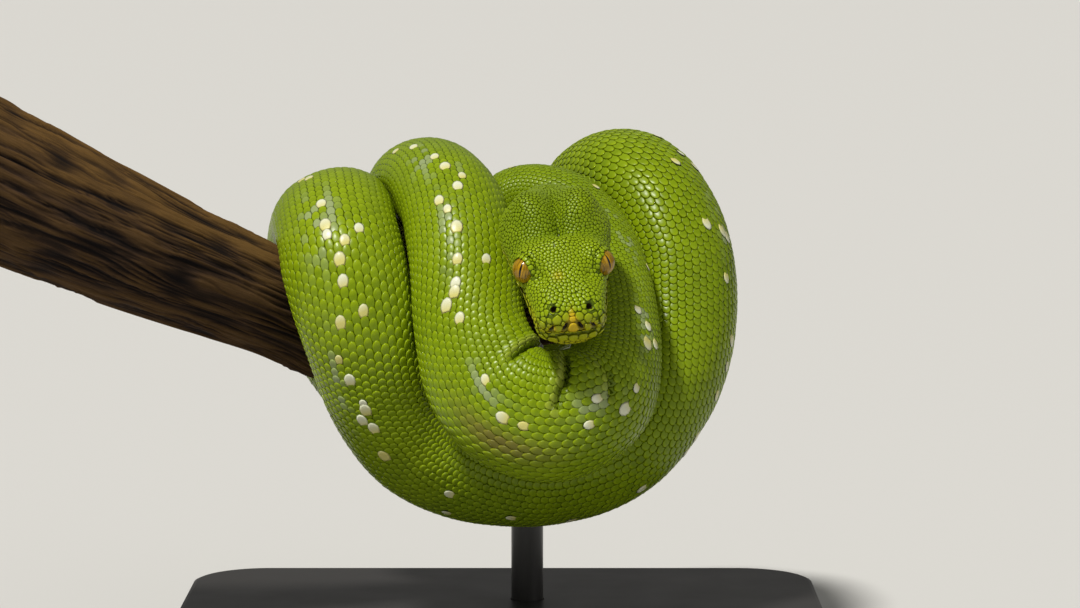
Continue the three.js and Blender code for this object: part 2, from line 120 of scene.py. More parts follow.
HALF_WIDTH = (
    (0, 10), (56, 10.5), (64, 9.3), (110, 9.3), (155, 10.3), (185, 12), (205, 14), (225, 17.6),
    (240, 19), (262, 18.6), (285, 17.2), (325, 16), (350, 15.3), (390, 15.3), (420, 16),
    (520, 18), (600, 18.8), (830, 18.8), (880, 18), (930, 15.5), (965, 12.5), (985, 10.8),
    (1015, 9), (1100, 2.8),
)
HALF_HEIGHT = (
    (0, 8), (56, 9.3), (64, 9), (110, 9), (155, 10), (185, 10.8), (205, 11.8), (225, 12.6),
    (240, 13), (285, 13.4), (350, 13.5), (390, 13.3), (420, 13.8), (520, 15), (600, 15.3),
    (750, 15), (770, 14.2), (790, 14.2), (830, 15), (880, 14.6), (930, 13), (965, 11.5),
    (985, 10.5), (1015, 9), (1100, 2.8),
)
BACK_RISE = 1.03
BELLY_RISE = 0.95

HEAD_HALF_WIDTH = (
    (0, 9.4), (5, 9.8), (10, 10.7), (16, 11.9), (21, 13.1), (28, 14.6), (35, 15.9), (41, 16.6),
    (46, 15.8), (51, 13.2), (56, 10.6), (62, 9.4),
)
HEAD_TOP = (
    (0, 4), (3, 4.4), (8, 5.5), (13, 6.6), (18, 8.4), (24, 10), (29, 9.8), (35, 11.4),
    (40, 12.2), (46, 10.8), (51, 9.4), (56, 9), (62, 9),
)
HEAD_BOTTOM = (
    (0, 9.8), (3, 10), (10, 9.6), (20, 8.7), (35, 8), (45, 7.2), (51, 7.6), (56, 8.6), (62, 9),
)
SNOUT_SIDES, SNOUT_TOP, SNOUT_CHIN = 4.5, 5.0, 3.0
# Bumps and hollows of the head: height, station and its spread, angle from the top and its spread.
HEAD_FORMS = (
    (3.4, 39.5, 7, 35, 18),  # jaw muscle
    (-3.8, 38, 9.5, 0, 10),  # groove of the crown
    (-2.7, 30, 3.2, 0, 48),  # valley behind the brow
    (1.2, 24.3, 3.4, 0, 24),  # back of the forehead
    (2.0, 22.3, 3.6, 51, 13),  # brow
    (-1.7, 15, 3.6, 56, 12),  # hollow in front of the eye
    (0.5, 8, 6, 50, 12),  # edge of the snout
    (0.3, 14, 14, 108, 14),  # lip
    (1.0, 5, 5.5, 119, 14),  # corner of the lower lip
)

EYE_RADIUS, EYE_STATION, EYE_RISE, EYE_ASIDE = 4.0, 20.0, 3.7, 10.8
# Which way an eye's opening faces and which way its pupil looks: back, aside, up.
EYE_OPENING = (-0.5, 0.86, 0.1)
EYE_GAZE = (-0.63, 0.47, 0.6)
LID_ANGLE = 72.0  # from the middle of the opening to the lid

BRANCH_AXIS = (
    (-159, -48, 155, 23.6), (-112, -30, 130.5, 19.6), (-71, -9, 110.5, 16.2), (-50, 4, 98.5, 15.2),
    (-31, 14, 97.5, 14.6), (-10, 24, 102, 14.5), (18, 35, 107, 14.5), (43, 43, 108, 14.4),
    (63, 50, 107, 14.2), (70, 52, 107, 14),
)

# ---------------------------------------------------------------- sizes of the details

SKIN_SIDES = 96
COAT_SIDES = 192
TURN = (190, 300)  # the length of body that is folded below the chin
SCALE_ROWS = 35  # across the back, from one edge of the belly plates to the other
BELLY_SHARE = 0.2  # of the way round
FIRST_SCALE, LAST_SCALE = 52.5, 1087.5
COAT_LENGTHS = (("coat_neck", 52, 215), ("coat_trunk_1", 215, 370), ("coat_trunk_2", 370, 520),
                ("coat_trunk_3", 520, 680), ("coat_trunk_4", 680, 840),
                ("coat_trunk_5", 840, 960), ("coat_tail", 960, 1095))

# Distance between scales of one row, along the body.
SCALE_PITCH = (
    (52, 1.15), (110, 1.4), (180, 1.7), (240, 2.05), (330, 2.35), (430, 2.4), (520, 2.35),
    (600, 2.15), (840, 2.15), (930, 2.15), (985, 1.95), (1040, 1.45), (1090, 0.9),
)

# Points on the head: distance back from the snout, aside, and up from the axis.
NOSTRIL = (2.6, 5.4, 3.8)
NOSTRIL_WAY = (-0.72, 0.33, 0.61)
# Slots in the lip: middle as back, aside and up, then half length.
LIP_PITS = ((0.6, 2.2, -1.0, 2.1), (1.6, 6.0, -1.7, 1.6), (4.6, 9.0, -1.9, 1.0))
SLOT_ASIDE, SLOT_DROP = 0.48, 0.88  # which way a slot runs
NOSTRIL_WIDTH, NOSTRIL_DEPTH = 0.9, 1.7
SLOT_WIDTH, SLOT_DEPTH = 0.62, 1.2
MOUTH_WIDTH, MOUTH_DEPTH = 0.4, 0.5
MOUTH_LINE = ((0, -3.5), (1.5, -3.7), (4, -4.1), (12, -4.5), (22, -4.9), (30, -5.4), (38, -5.0))

# Creases in the tight turn below the chin: depth, then stations and angles from the back.
CREASES = (
    (2.6, ((264, 57), (265, 79), (266.3, 92), (267, 112))),
    (2.4, ((237, 86), (240.3, 60), (243, 46), (244.5, 27))),
    (1.4, ((229.5, 58), (230.5, 44), (231.5, 35), (232.5, 26))),
)
# Swellings between them: station, angle, rise, reach.
LUMPS = ((251, 68, 1.5, 6.5), (235, 58, 1.3, 4.5), (218, 60, 0.9, 5.0), (275, 76, 2.4, 7.0))

# White scales along the back: station, angle, size in millimetres.
FLECKS = (
    (778, -12, 1.9), (782, -23, 1.8), (762, 2, 1.9), (756, 4, 2.2), (753, 1, 1.8),
    (752, 22, 1.9), (754, 40, 1.7), (748, 4, 2.2), (744, 3, 2.0), (738, 30, 1.9), (736, 3, 2.1),
    (729, -12, 1.5), (724, 3, 2.1), (716, 5, 1.4), (714, 13, 2.1), (711, 0, 2.0), (708, 7, 2.0),
    (698, 0, 2.1), (676, 16, 1.6), (675, -16, 1.5),
    (356, -40, 1.5), (351, -24, 1.7), (339, -6, 1.7), (332, -3, 2.0), (327, 15, 1.5),
    (323, 8, 1.9), (320, -18, 1.9), (318, -10, 1.6), (312, 0, 2.2), (303, -2, 1.9),
    (302, 30, 1.7), (296, 0, 1.9), (292, 0, 2.1), (289, -8, 2.2), (286, 7, 1.8), (264, 20, 1.6),
    (256, 1, 2.0), (252, -3, 1.6), (239, 4, 1.6), (236, 25, 1.6), (230, 0, 2.2), (226, 6, 1.5),
    (213, 6, 2.1), (210, -10, 1.6), (206, 12, 1.6), (203, 30, 1.5), (184, -22, 1.2),
    (156, -20, 1.2), (136, -8, 1.2),
    (538, -23, 1.7), (556, 18, 1.9), (556, -7, 2.0), (557, -22, 2.0), (569, 2, 1.6),
    (584, -17, 1.9), (590, -20, 1.6), (598, -13, 1.8), (608, -8, 2.0), (612, -9, 1.7),
    (626, 5, 1.8), (643, -4, 1.7), (659, 8, 1.6),
)
HIDDEN_FLECKS = ((366, 535), (792, 1060))  # lengths whose flecks are strewn by chance
FLECK_CATCH = 2.4  # how far a fleck may lie from the scale that it turns white
# Stretches of the back where pale blue-grey scales are mixed in: station, reach, angle, spread.
PALE_PATCHES = (
    (758, 9, -13, 15), (760, 7, 8, 9), (722, 10, -16, 7), (340, 9, -24, 15), (331, 8, 8, 9),
    (312, 10, -12, 9), (264, 7, 12, 9), (236, 6, 24, 12), (206, 9, 12, 12), (174, 9, 8, 10),
    (420, 12, 0, 14), (470, 10, 8, 12), (860, 16, 0, 15), (556, 8, -12, 9),
)
BROWN_PATCH = (255, 9, -32, 15)
FLECK_EDGE = (0.55, 0.75)  # over a fleck's size, where its white ends on the skin
BELLY_EDGE = (112, 158)  # degrees from the back, between which the belly's colour comes in
SNOUT_SPOT = (13.2, -2.5, 7.2)  # a yellow spot, as a point on the head

# Where a light stands, its spread in degrees, its strength over the key light's, its colour.
LIGHTS = (
    ((-0.38, -0.5, 1.0), 8, 1.0, (1.0, 0.97, 0.92)),
    ((0.9, -0.7, 0.5), 50, 0.06, (1.0, 0.98, 0.95)),
)
WORLD_COLOUR, WORLD_STRENGTH = (1, 0.98, 0.94, 1), 0.2
SENSOR = 36.0
FLOOR_SIZE = 90

# Fibres of the bark: share, length, how many within one radian, sharpness, seed.
FIBRES = ((0.4, 64, 9, 2.4, 1), (0.5, 40, 21, 2, 2), (0.4, 22, 36, 1.6, 3))
FIBRE_RISE, BARK_LUMPS, BARK_DROP = 1.3, 0.4, 1.1
BARK_SIDES, BARK_STEP = 320, 1.15
CAP_RINGS = (0, 0.4, 0.75, 0.97)  # on a sawn end, over its radius


# ---------------------------------------------------------------- numbers


def unit(v):
    v = np.asarray(v, float)
    return v / np.linalg.norm(v, axis=-1, keepdims=True)


def square(direction, axis):
    along = np.sum(direction * axis, axis=-1, keepdims=True)
    return unit(direction - axis * along)


def difference(rows):
    """From the row before to the row after, or to the row itself at the ends."""
    return np.vstack([rows[1:], rows[-1:]]) - np.vstack([rows[:1], rows[:-1]])


def bump(x, middle, spread):
    return np.exp(-(((x - middle) / spread) ** 2))


def smoothstep(x, low, high):
    t = np.clip((x - low) / (high - low), 0, 1)
    return t * t * (3 - 2 * t)


def track(rows, x):
    """A smooth curve through (x, y) rows that never overshoots them."""
    xs, ys = np.array(rows, float).T
    slope = np.diff(ys) / np.diff(xs)
    before, after = slope[:-1], slope[1:]
    level = before * after <= 0
    tangent = np.zeros(len(xs))
    tangent[1:-1] = np.where(level, 0, 2 * before * after / np.where(level, 1, before + after))
    x = np.clip(x, xs[0], xs[-1])
    k = np.clip(np.searchsorted(xs, x) - 1, 0, len(xs) - 2)
    h = xs[k + 1] - xs[k]
    t = (x - xs[k]) / h
    rise = 3 * t * t - 2 * t * t * t
    lead = t * (1 - t) ** 2 * h * tangent[k] - t * t * (1 - t) * h * tangent[k + 1]
    return ys[k] * (1 - rise) + ys[k + 1] * rise + lead


def curve_through(rows, steps):
    rows = np.asarray(rows, float)
    ends = np.vstack([2 * rows[0] - rows[1], rows, 2 * rows[-1] - rows[-2]])
    t = (np.arange(steps) / steps)[:, None]
    spans = []
    for p0, p1, p2, p3 in zip(ends, ends[1:], ends[2:], ends[3:]):
        quad = 2 * p0 - 5 * p1 + 4 * p2 - p3
        cube = 3 * p1 - p0 - 3 * p2 + p3
        spans.append(0.5 * (2 * p1 + (p2 - p0) * t + quad * t**2 + cube * t**3))
    return np.vstack([*spans, rows[-1:]])


def evenly(rows, step):
    along = np.concatenate([[0], np.cumsum(np.linalg.norm(np.diff(rows[:, :3], axis=0), axis=1))])
    count = round(along[-1] / step)
    s = np.linspace(0, along[-1], count + 1)
    return np.column_stack([np.interp(s, along, column) for column in rows.T]), along[-1] / count


def noise(p, seed=0):
    """Smooth noise from -1 to 1 over points in space, one wave to a unit."""
    p = np.asarray(p, float)
    cell = np.floor(p)
    f = p - cell
    f = f * f * (3 - 2 * f)
    total = np.zeros(p.shape[:-1])
    for corner in np.ndindex(2, 2, 2):
        dots = (cell + corner) @ np.array((127.1, 311.7, 74.7)) + seed * 19.19
        value = np.sin(dots) * 43758.5453
        share = np.prod(np.where(np.array(corner) == 1, f, 1 - f), axis=-1)
        total += (value - np.floor(value)) * share
    return total * 2 - 1


# ---------------------------------------------------------------- the body's surface


@functools.lru_cache(maxsize=None)
def branch():
    rows, spacing = evenly(curve_through(BRANCH_AXIS, 24), STEP)
    point = rows[:, :3]
    along = unit(difference(point))
    up = square(np.array((0.0, 0.0, 1.0)), along)
    return {"point": point, "along": along, "up": up, "back": np.cross(up, along),
            "radius": rows[:, 3], "s": np.arange(len(rows)) * spacing}


def round_branch(x, angle, offset):
    wood = branch()
    k = np.argmin(np.abs(wood["point"][:, 0] - x))
    turn = math.radians(angle)
    out = wood["back"][k] * math.cos(turn) + wood["up"][k] * math.sin(turn)
    return wood["point"][k] + out * (wood["radius"][k] + offset), out


def head_axes():
    """Which way is back, aside and up for the head."""
    back, up = unit(HEAD_BACK), square(HEAD_UP, unit(HEAD_BACK))
    return back, np.cross(back, up), up


def way_points():
    back, _, up = head_axes()
    points = [SNOUT + back * s - up * drop for s, drop in HEAD_AXIS]
    ways = [up] * len(points)
    parts = (NECK_CURL, RING_ROUND_HEAD, TURN_UNDER_CHIN, MIDDLE_LOOP, BACK_TURN, RIGHT_LOOP,
             FRONT_TURN, LEFT_LOOP, HIND_TURN)
    for row in sum(parts, ()):
        points.append(np.array(row[:3], float))
        ways.append(unit(row[3]) if len(row) > 3 else None)
    for row in TAIL_WINDING:
        point, out = round_branch(*row)
        points.append(point)
        ways.append(out)
    known = [i for i, way in enumerate(ways) if way is not None]
    steered = np.array([ways[i] for i in known])
    every = np.arange(len(ways))
    filled = np.column_stack([np.interp(every, known, column) for column in steered.T])
    return np.hstack([np.array(points), filled])


@functools.lru_cache(maxsize=None)
def body():
    rows, _ = evenly(curve_through(way_points(), 16), STEP)
    for _ in range(RELAXING):
        place = rows[:, :3]
        rows[1:-1, :3] = (place[:-2] + 2 * place[1:-1] + place[2:]) / 4
    rows, spacing = evenly(rows, STEP)
    point = rows[:, :3]
    reach = np.ones(len(point)) * 2
    reach[[0, -1]] = 1
    along = unit(difference(point))
    up = square(rows[:, 3:], along)
    s = np.arange(len(point)) * spacing
    return {"s": s, "point": point, "along": along, "up": up, "side": np.cross(along, up),
            "bend": difference(along) / (spacing * reach)[:, None],
            "width": track(HALF_WIDTH, s)}


def frame_at(s):
    line = body()
    s = np.asarray(s, float)
    keys = ("point", "up", "side", "bend", "along")
    return {key: np.stack([np.interp(s, line["s"], c) for c in line[key].T], -1) for key in keys}


def blunt(s, depth, power):
    t = np.clip(1 - s / depth, 0, 1)
    return (1 - t**power) ** (1 / power)


def oval(angle, half_width, up, down, power):
    height = np.where(np.cos(angle) > 0, up, down)
    x = np.abs(np.sin(angle)) / np.maximum(half_width, 0.05)
    y = np.abs(np.cos(angle)) / np.maximum(height, 0.05)
    return (x**power + y**power) ** (-1 / power)


def full_radius(s, angle):
    power = np.where(np.cos(angle) > 0, 2, 2.25)
    height = track(HALF_HEIGHT, s)
    trunk = oval(angle, track(HALF_WIDTH, s), height * BACK_RISE, height * BELLY_RISE, power)
    if np.min(s) > 60:
        return trunk
    sides = blunt(s, SNOUT_SIDES, 2.6)
    head = oval(angle, track(HEAD_HALF_WIDTH, s) * sides,
                track(HEAD_TOP, s) * blunt(s, SNOUT_TOP, 1.9),
                track(HEAD_BOTTOM, s) * blunt(s, SNOUT_CHIN, 2.4), 2 + 0.5 * bump(s, 6, 9))
    from_top = np.abs(np.degrees(np.arctan2(np.sin(angle), np.cos(angle))))
    for height, station, run, turn, spread in HEAD_FORMS:
        head = head + height * bump(s, station, run) * bump(from_top, turn, spread) * sides
    to_trunk = smoothstep(s, 50, 60)
    return head * (1 - to_trunk) + trunk * to_trunk


def clear_of_coils(s, points):
    """How far each point lies outside the nearest other coil."""
    line = body()
    result = np.empty(len(points))
    for first in range(0, len(points), 4000):
        part = slice(first, first + 4000)
        gap = np.linalg.norm(points[part, None] - line["point"][None], axis=2) - line["width"]
        gap[np.abs(line["s"][None] - s[part, None]) < FREE_ARC] = np.inf
        k = np.argmin(gap, axis=1)
        best = gap[np.arange(len(k)), k]
        out = points[part] - line["point"][k]
        x = np.sum(out * line["side"][k], axis=1)
        y = np.sum(out * line["up"][k], axis=1)
        near = np.hypot(x, y) - full_radius(line["s"][k], np.arctan2(x, y))
        result[part] = np.where(best > 2, best, near)
    return result


def clear_of_branch(points):
    wood = branch()
    result = np.empty(len(points))
    for first in range(0, len(points), 8000):
        part = slice(first, first + 8000)
        gap = np.linalg.norm(points[part, None] - wood["point"][None], axis=2)
        k = np.argmin(gap, axis=1)
        out = points[part] - wood["point"][k]
        out = out - wood["along"][k] * np.sum(out * wood["along"][k], axis=1, keepdims=True)
        result[part] = np.linalg.norm(out, axis=1) - wood["radius"][k]
    return result


def pressed_radius(s, angle):
    """Distance of the scales' tops from the axis, flattened where the body bears on something."""
    frame = frame_at(s)
    out = frame["up"] * np.cos(angle)[:, None] + frame["side"] * np.sin(angle)[:, None]
    inward = np.sum(frame["bend"] * out, axis=1)
    limit = np.where(inward > 1e-6, TIGHTEST / np.maximum(inward, 1e-6), np.inf)
    full = np.minimum(full_radius(s, angle), limit)

    def excess(radius, some):
        points = frame["point"][some] + out[some] * radius[:, None]
        coil = radius - full[some] + CONTACT_GAP - clear_of_coils(s[some], points)
        return np.maximum(coil, CONTACT_GAP - clear_of_branch(points))

    everywhere = np.arange(len(s))
    touching = everywhere[excess(full, everywhere) > 0]
    low, high = full[touching] * 0.25, full[touching].copy()
    for _ in range(9):
        middle = (low + high) / 2
        over = excess(middle, touching) > 0
        high = np.where(over, middle, high)
        low = np.where(over, low, middle)
    full[touching] = low
    return full


class Hide:
    """The skin as a table of points and normals over station and angle."""

    def __init__(self, depth):
        end = body()["s"][-1]
        front = 4 * (np.arange(36) / 36) ** 2
        head = np.arange(4, 60, 0.4)
        trunk = np.linspace(60, end, round((end - 60) / 1.6))
        coarse = np.concatenate([front, head, trunk])
        turn = np.linspace(*TURN, round((TURN[1] - TURN[0]) / 0.6))
        outside = coarse[(coarse < TURN[0]) | (coarse > TURN[1])]
        self.stations = np.sort(np.concatenate([outside, turn]))
        self.sides = COAT_SIDES
        self.angles = 2 * np.pi * np.arange(self.sides) / self.sides
        rough_angles = 2 * np.pi * np.arange(SKIN_SIDES) / SKIN_SIDES
        s, angle = np.meshgrid(coarse, rough_angles, indexing="ij")
        radius = pressed_radius(s.ravel(), angle.ravel()).reshape(s.shape)
        radius = self.even_out(radius, len(front))
        radius = np.stack([np.interp(self.stations, coarse, c) for c in radius.T], 1)
        closed = np.concatenate([rough_angles, [2 * np.pi]])
        radius = np.stack([np.interp(self.angles, closed, np.append(r, r[0])) for r in radius])
        s, angle = np.meshgrid(self.stations, self.angles, indexing="ij")
        radius -= depth * smoothstep(s, 0, 3)
        tip = np.clip((s - (end - 4)) / 4, 0, 1)
        radius = np.maximum(radius, 0) * np.sqrt(1 - tip**2)
        frame = frame_at(self.stations)
        self.centre = frame["point"]
        self.along = frame["along"]
        out = (frame["up"][:, None] * np.cos(angle)[..., None]
               + frame["side"][:, None] * np.sin(angle)[..., None])
        self.points = self.centre[:, None] + out * radius[..., None]
        self.s, self.angle = s, angle
        self.find_normals()
        self.add_relief()
        self.find_normals()
        self.find_rows()

    @staticmethod
    def even_out(radius, front):
        for _ in range(2):
            round_it = (np.roll(radius, 1, 1) + 2 * radius + np.roll(radius, -1, 1)) / 4
            radius = np.vstack([round_it[:front], (round_it[front - 1:-2] + 2 * round_it[front:-1]
                                                   + round_it[front + 1:]) / 4, round_it[-1:]])
        return radius

    def find_normals(self):
        across = np.roll(self.points, -1, 1) - np.roll(self.points, 1, 1)
        down = np.gradient(self.points, axis=0)
        normal = np.cross(across, down)
        normal *= np.sign(np.sum(normal * (self.points - self.centre[:, None])))
        normal /= np.linalg.norm(normal, axis=-1, keepdims=True) + 1e-12
        normal[0] = -self.along[0]
        normal[-1] = self.along[-1]
        self.normals = normal

    def add_relief(self):
        rise = head_relief(self.points) * (self.s < 60)
        turn = (self.s > TURN[0]) & (self.s < TURN[1])
        # Shares of painted shade in the creases and of painted highlight on their lips, for the
        # colour.
        self.crease_shade = np.zeros(self.s.shape)
        self.lip = np.zeros(self.s.shape)
        self.set_folds()
        lift, self.crease_shade[turn], self.lip[turn] = self.turn_relief(self.points[turn], self.s[turn])
        rise[turn] += lift
        soft = noise(self.points / 11, 3) * 0.22 + noise(self.points / 5, 4) * 0.07
        rise += soft * smoothstep(self.s, 60, 90)
        self.points = self.points + self.normals * rise[..., None]
        on_face = self.s < 40
        self.points[on_face] = shape_lids(self.points[on_face])

    def set_folds(self):
        """The lines of the creases, and the middles of the swellings, in space."""
        self.crease_lines = []
        for depth, crease in CREASES:
            places, turns = np.array(crease, float).T
            fine = np.linspace(0, len(places) - 1, 40)
            knots = np.arange(len(places))
            along = np.interp(fine, knots, places)
            line = self.at(along, np.radians(np.interp(fine, knots, turns)))[0]
            self.crease_lines.append((depth, line, along))
        lumps = np.array(LUMPS, float)
        self.lumps = self.at(lumps[:, 0], np.radians(lumps[:, 1]))[0], lumps[:, 2], lumps[:, 3]

    def turn_relief(self, points, s):
        """Height added at points of the folded turn, and their shares of painted shade deep in a
        crease and of painted highlight on its upper lip.
        """
        rise, crease_shade, lip = np.zeros(len(s)), np.zeros(len(s)), np.zeros(len(s))
        for middle, height, reach in zip(*self.lumps):
            rise += height * bump(np.linalg.norm(points - middle, axis=1), 0, reach)
        for depth, line, along in self.crease_lines:
            gap = np.linalg.norm(points[:, None] - line[None], axis=2)
            k = np.argmin(gap, axis=1)
            gap = gap[np.arange(len(k)), k]
            upper = smoothstep(s - along[k], -0.5, 0.8)
            fade = np.sin(np.pi * np.clip((k + 6) / (len(line) + 11), 0, 1)) ** 0.5
            swell = depth * (0.08 + 0.24 * upper)
            rise += fade * (swell * bump(gap, 2.6, 1.5) - depth * bump(gap, 0, 1.05))
            # Painted shade along the bottom of each crease.
            crease_shade = np.maximum(crease_shade, fade * bump(gap, 0, 0.9) * min(1, depth / 2.4))
            # Painted highlight along the upper lip of each crease, where light catches it.
            lip = np.maximum(lip, upper * fade * bump(gap, 2.0, 0.9) * min(1, depth / 2.4))
        return rise, crease_shade, lip

    def find_rows(self):
        """Angle against the share of the way from the back to the belly, at each station."""
        turn = np.linspace(0, np.pi, 73)
        self.row_stations = np.arange(0, self.stations[-1] + 4, 4.0)
        s, angle = np.meshgrid(self.row_stations, turn, indexing="ij")
        radius = full_radius(s, angle)
        x, y = radius * np.sin(angle), radius * np.cos(angle)
        run = np.hypot(np.diff(x, axis=1), np.diff(y, axis=1))
        share = np.hstack([np.zeros((len(s), 1)), np.cumsum(run, axis=1)])
        share /= share[:, -1:]
        self.shares = np.linspace(0, 1, 65)
        self.turns = np.array([np.interp(self.shares, row, turn) for row in share])

    def angle_of(self, s, share):
        """The angle of a point that is this share of the way round, minus on the right side."""
        i = np.clip(np.asarray(s) / 4.0, 0, len(self.row_stations) - 1.001)
        j = np.clip(np.abs(share), 0, 1) * 64 * 0.99999
        a, b = i.astype(int), j.astype(int)
        u, v = i - a, j - b
        turn = ((self.turns[a, b] * (1 - u) + self.turns[a + 1, b] * u) * (1 - v)
                + (self.turns[a, b + 1] * (1 - u) + self.turns[a + 1, b + 1] * u) * v)
        return turn * np.sign(share)

    def blend(self, table, s, angle):
        i = np.interp(s, self.stations, np.arange(len(self.stations)))
        i = np.clip(i, 0, len(self.stations) - 1.001)
        j = np.mod(np.asarray(angle) / (2 * np.pi), 1) * self.sides
        a, b = i.astype(int), j.astype(int) % self.sides
        u, v = (i - a)[..., None], (j - np.floor(j))[..., None]
        c = (b + 1) % self.sides
        return ((table[a, b] * (1 - u) + table[a + 1, b] * u) * (1 - v)
                + (table[a, c] * (1 - u) + table[a + 1, c] * u) * v)

    def at(self, s, angle):
        s, angle = np.asarray(s, float), np.asarray(angle, float)
        return self.blend(self.points, s, angle), unit(self.blend(self.normals, s, angle))


def on_head(points):
    """Distance back, aside and up from the snout, in the head's own directions."""
    return np.stack([(points - SNOUT) @ axis for axis in head_axes()], -1)


def off_head(back, aside, rise):
    """The point in space that lies there."""
    axis, side, up = head_axes()
    return SNOUT + axis * back + side * aside + up * rise


def one_side(points):
    """The same, with the right half laid over the left."""
    place = on_head(points)
    place[..., 1] = np.abs(place[..., 1])
    return place


def beside_nostril(place):
    """Distance from the line on which a nostril runs inwards, near its mouth."""
    away = place - np.array(NOSTRIL)
    depth = away @ np.array(NOSTRIL_WAY)
    beside = np.sqrt(np.maximum(np.sum(away**2, axis=-1) - depth**2, 0))
    return beside + 9 * smoothstep(np.abs(depth), 3, 4)


def pit_depths(points):
    """How deep in a nostril and in a lip slot each point of the head lies, from 0 to 1."""
    place = one_side(points)
    nostril = bump(beside_nostril(place), 0, NOSTRIL_WIDTH)
    lips = np.zeros(nostril.shape)
    for back, aside, rise, half_length in LIP_PITS:
        away = place - np.array((back, aside, rise))
        down = SLOT_ASIDE * away[..., 1] - SLOT_DROP * away[..., 2]
        across = SLOT_DROP * away[..., 1] + SLOT_ASIDE * away[..., 2]
        lips = np.maximum(lips, bump(down, 0, half_length * 0.8) * bump(across, 0, SLOT_WIDTH)
                          * bump(away[..., 0], 0, 3))
    return nostril, lips


def mouth_gap(points):
    """Height above the mouth line, and whether the line runs there."""
    place = on_head(points)
    height = place[..., 2] - track(MOUTH_LINE, place[..., 0])
    return height, smoothstep(place[..., 0], 40, 36)


def head_relief(points):
    nostril, lips = pit_depths(points)
    height, open_here = mouth_gap(points)
    place = one_side(points)
    rim = bump(beside_nostril(place), 1.5, 0.5)
    rise = 0.4 * rim - NOSTRIL_DEPTH * nostril - SLOT_DEPTH * lips
    rise -= MOUTH_DEPTH * bump(height, 0, MOUTH_WIDTH) * open_here
    rise += 0.3 * bump(height, 1.9, 1.4) * open_here + 0.25 * bump(height, -1.9, 1.3) * open_here
    away = place - np.array((EYE_STATION, EYE_ASIDE, EYE_RISE))
    inner = smoothstep(-away[..., 1] / EYE_RADIUS, -0.2, 0.9)
    reach = np.linalg.norm(away, axis=-1)
    return rise + (0.3 + 0.9 * inner) * bump(reach, EYE_RADIUS + 0.5, 1.1)


def head_way(back, aside, rise):
    """A direction given in the head's own directions."""
    return unit(off_head(back, aside, rise) - SNOUT)


def eye(sign, way):
    """The middle of the eye on this side, and a direction that is given for the left eye."""
    return (off_head(EYE_STATION, sign * EYE_ASIDE, EYE_RISE),
            head_way(way[0], sign * way[1], way[2]))


def shape_lids(points):
    """Carries the skin over each eyeball, but for a round opening where it dips behind it."""
    for sign in (-1, 1):
        centre, opening = eye(sign, EYE_OPENING)
        away = points - centre
        reach = np.linalg.norm(away, axis=-1)
        turned = away @ opening / reach
        beside = np.degrees(np.arccos(np.clip(turned, -1, 1)))
        covered = smoothstep(beside, LID_ANGLE - 5, LID_ANGLE + 2)
        behind = EYE_RADIUS - 0.4
        drawn_in = (1 - covered) * smoothstep(reach, EYE_RADIUS + 4, EYE_RADIUS + 1)
        wanted = np.maximum(reach + drawn_in * (behind - reach), behind + 0.85 * covered)
        points = centre + away * (wanted / reach)[..., None]
    return points


@functools.lru_cache(maxsize=None)
def hide():
    return Hide(bpy.context.scene.python_coat.depth / MM)


# ---------------------------------------------------------------- markings


@functools.lru_cache(maxsize=None)
def fleck_places():
    chance = np.random.default_rng(11)
    rows = list(FLECKS)
    for first, last in HIDDEN_FLECKS:
        s = first
        while s < last:
            s += chance.uniform(4, 13)
            rows.append((s, chance.normal(0, 9), chance.uniform(1.2, 2.1)))
    rows = np.array(rows)
    return hide().at(rows[:, 0], np.radians(rows[:, 1]))[0], rows[:, 2]


def markings(points, s, angle):
    """Shares of white, pale, brown and belly colour at points of the skin, with the painted shade
    of the creases and the painted highlight on their lips.
    """
    turn = np.degrees(np.arctan2(np.sin(angle), np.cos(angle)))
    centres, reach = fleck_places()
    white = np.zeros(len(points))
    for first in range(0, len(points), 6000):
        part = slice(first, first + 6000)
        gap = np.linalg.norm(points[part, None] - centres[None], axis=2) / reach
        white[part] = 1 - smoothstep(np.min(gap, axis=1), *FLECK_EDGE)
    pale = np.zeros(len(points))
    for station, run, middle, spread in PALE_PATCHES:
        pale = np.maximum(pale, bump(s, station, run) * bump(turn, middle, spread))
    station, run, middle, spread = BROWN_PATCH
    brown = bump(s, station, run) * bump(turn, middle, spread)
    belly = smoothstep(np.abs(turn), *BELLY_EDGE) * smoothstep(s, 40, 70)
    skin = hide()
    folds = skin.blend(np.stack([skin.crease_shade, skin.lip], -1), s, angle)
    return {"white": white, "pale": pale, "brown": brown, "belly": belly,
            "crease_shade": folds[:, 0], "lip": folds[:, 1]}


def head_markings(points):
    """Shares of yellow, and of painted shade in the nostrils and lip pits, on the head."""
    place = on_head(points)
    nostril, lips = pit_depths(points)
    height, open_here = mouth_gap(points)
    aside = np.abs(place[:, 1])
    breadth = np.clip(1.9 - 0.45 * (place[:, 2] - 0.5), 0.7, 2.4)
    rostral = bump(place[:, 0], 0, 2.8) * bump(aside / breadth, 0, 1) * bump(place[:, 2], 0.9, 3.2)
    rostral = np.maximum(rostral, 0.7 * bump(lips, 0.3, 0.22) * bump(place[:, 0], 0, 1.5))
    lip = 0.3 * bump(height, 1.2, 2.2) * open_here + 0.4 * smoothstep(-height, 0.4, 3.5)
    spot = bump(np.linalg.norm(place - np.array(SNOUT_SPOT), axis=1), 0, 1.5)
    lip = lip * smoothstep(place[:, 0], 48, 30)
    yellow = np.clip(np.maximum(np.maximum(rostral * 1.4, lip), 0.5 * spot), 0, 1)
    # Painted shade inside the nostrils and lip pits.
    dark = np.maximum(smoothstep(nostril, 0.25, 0.5), smoothstep(lips, 0.3, 0.65))
    return yellow, dark


# ---------------------------------------------------------------- making meshes


def only(obj):
    bpy.ops.object.select_all(action="DESELECT")
    obj.select_set(True)
    bpy.context.view_layer.objects.active = obj


def fresh(add, **settings):
    """The one object that an operator adds."""
    bpy.ops.object.select_all(action="DESELECT")
    add(**settings)
    return bpy.context.object


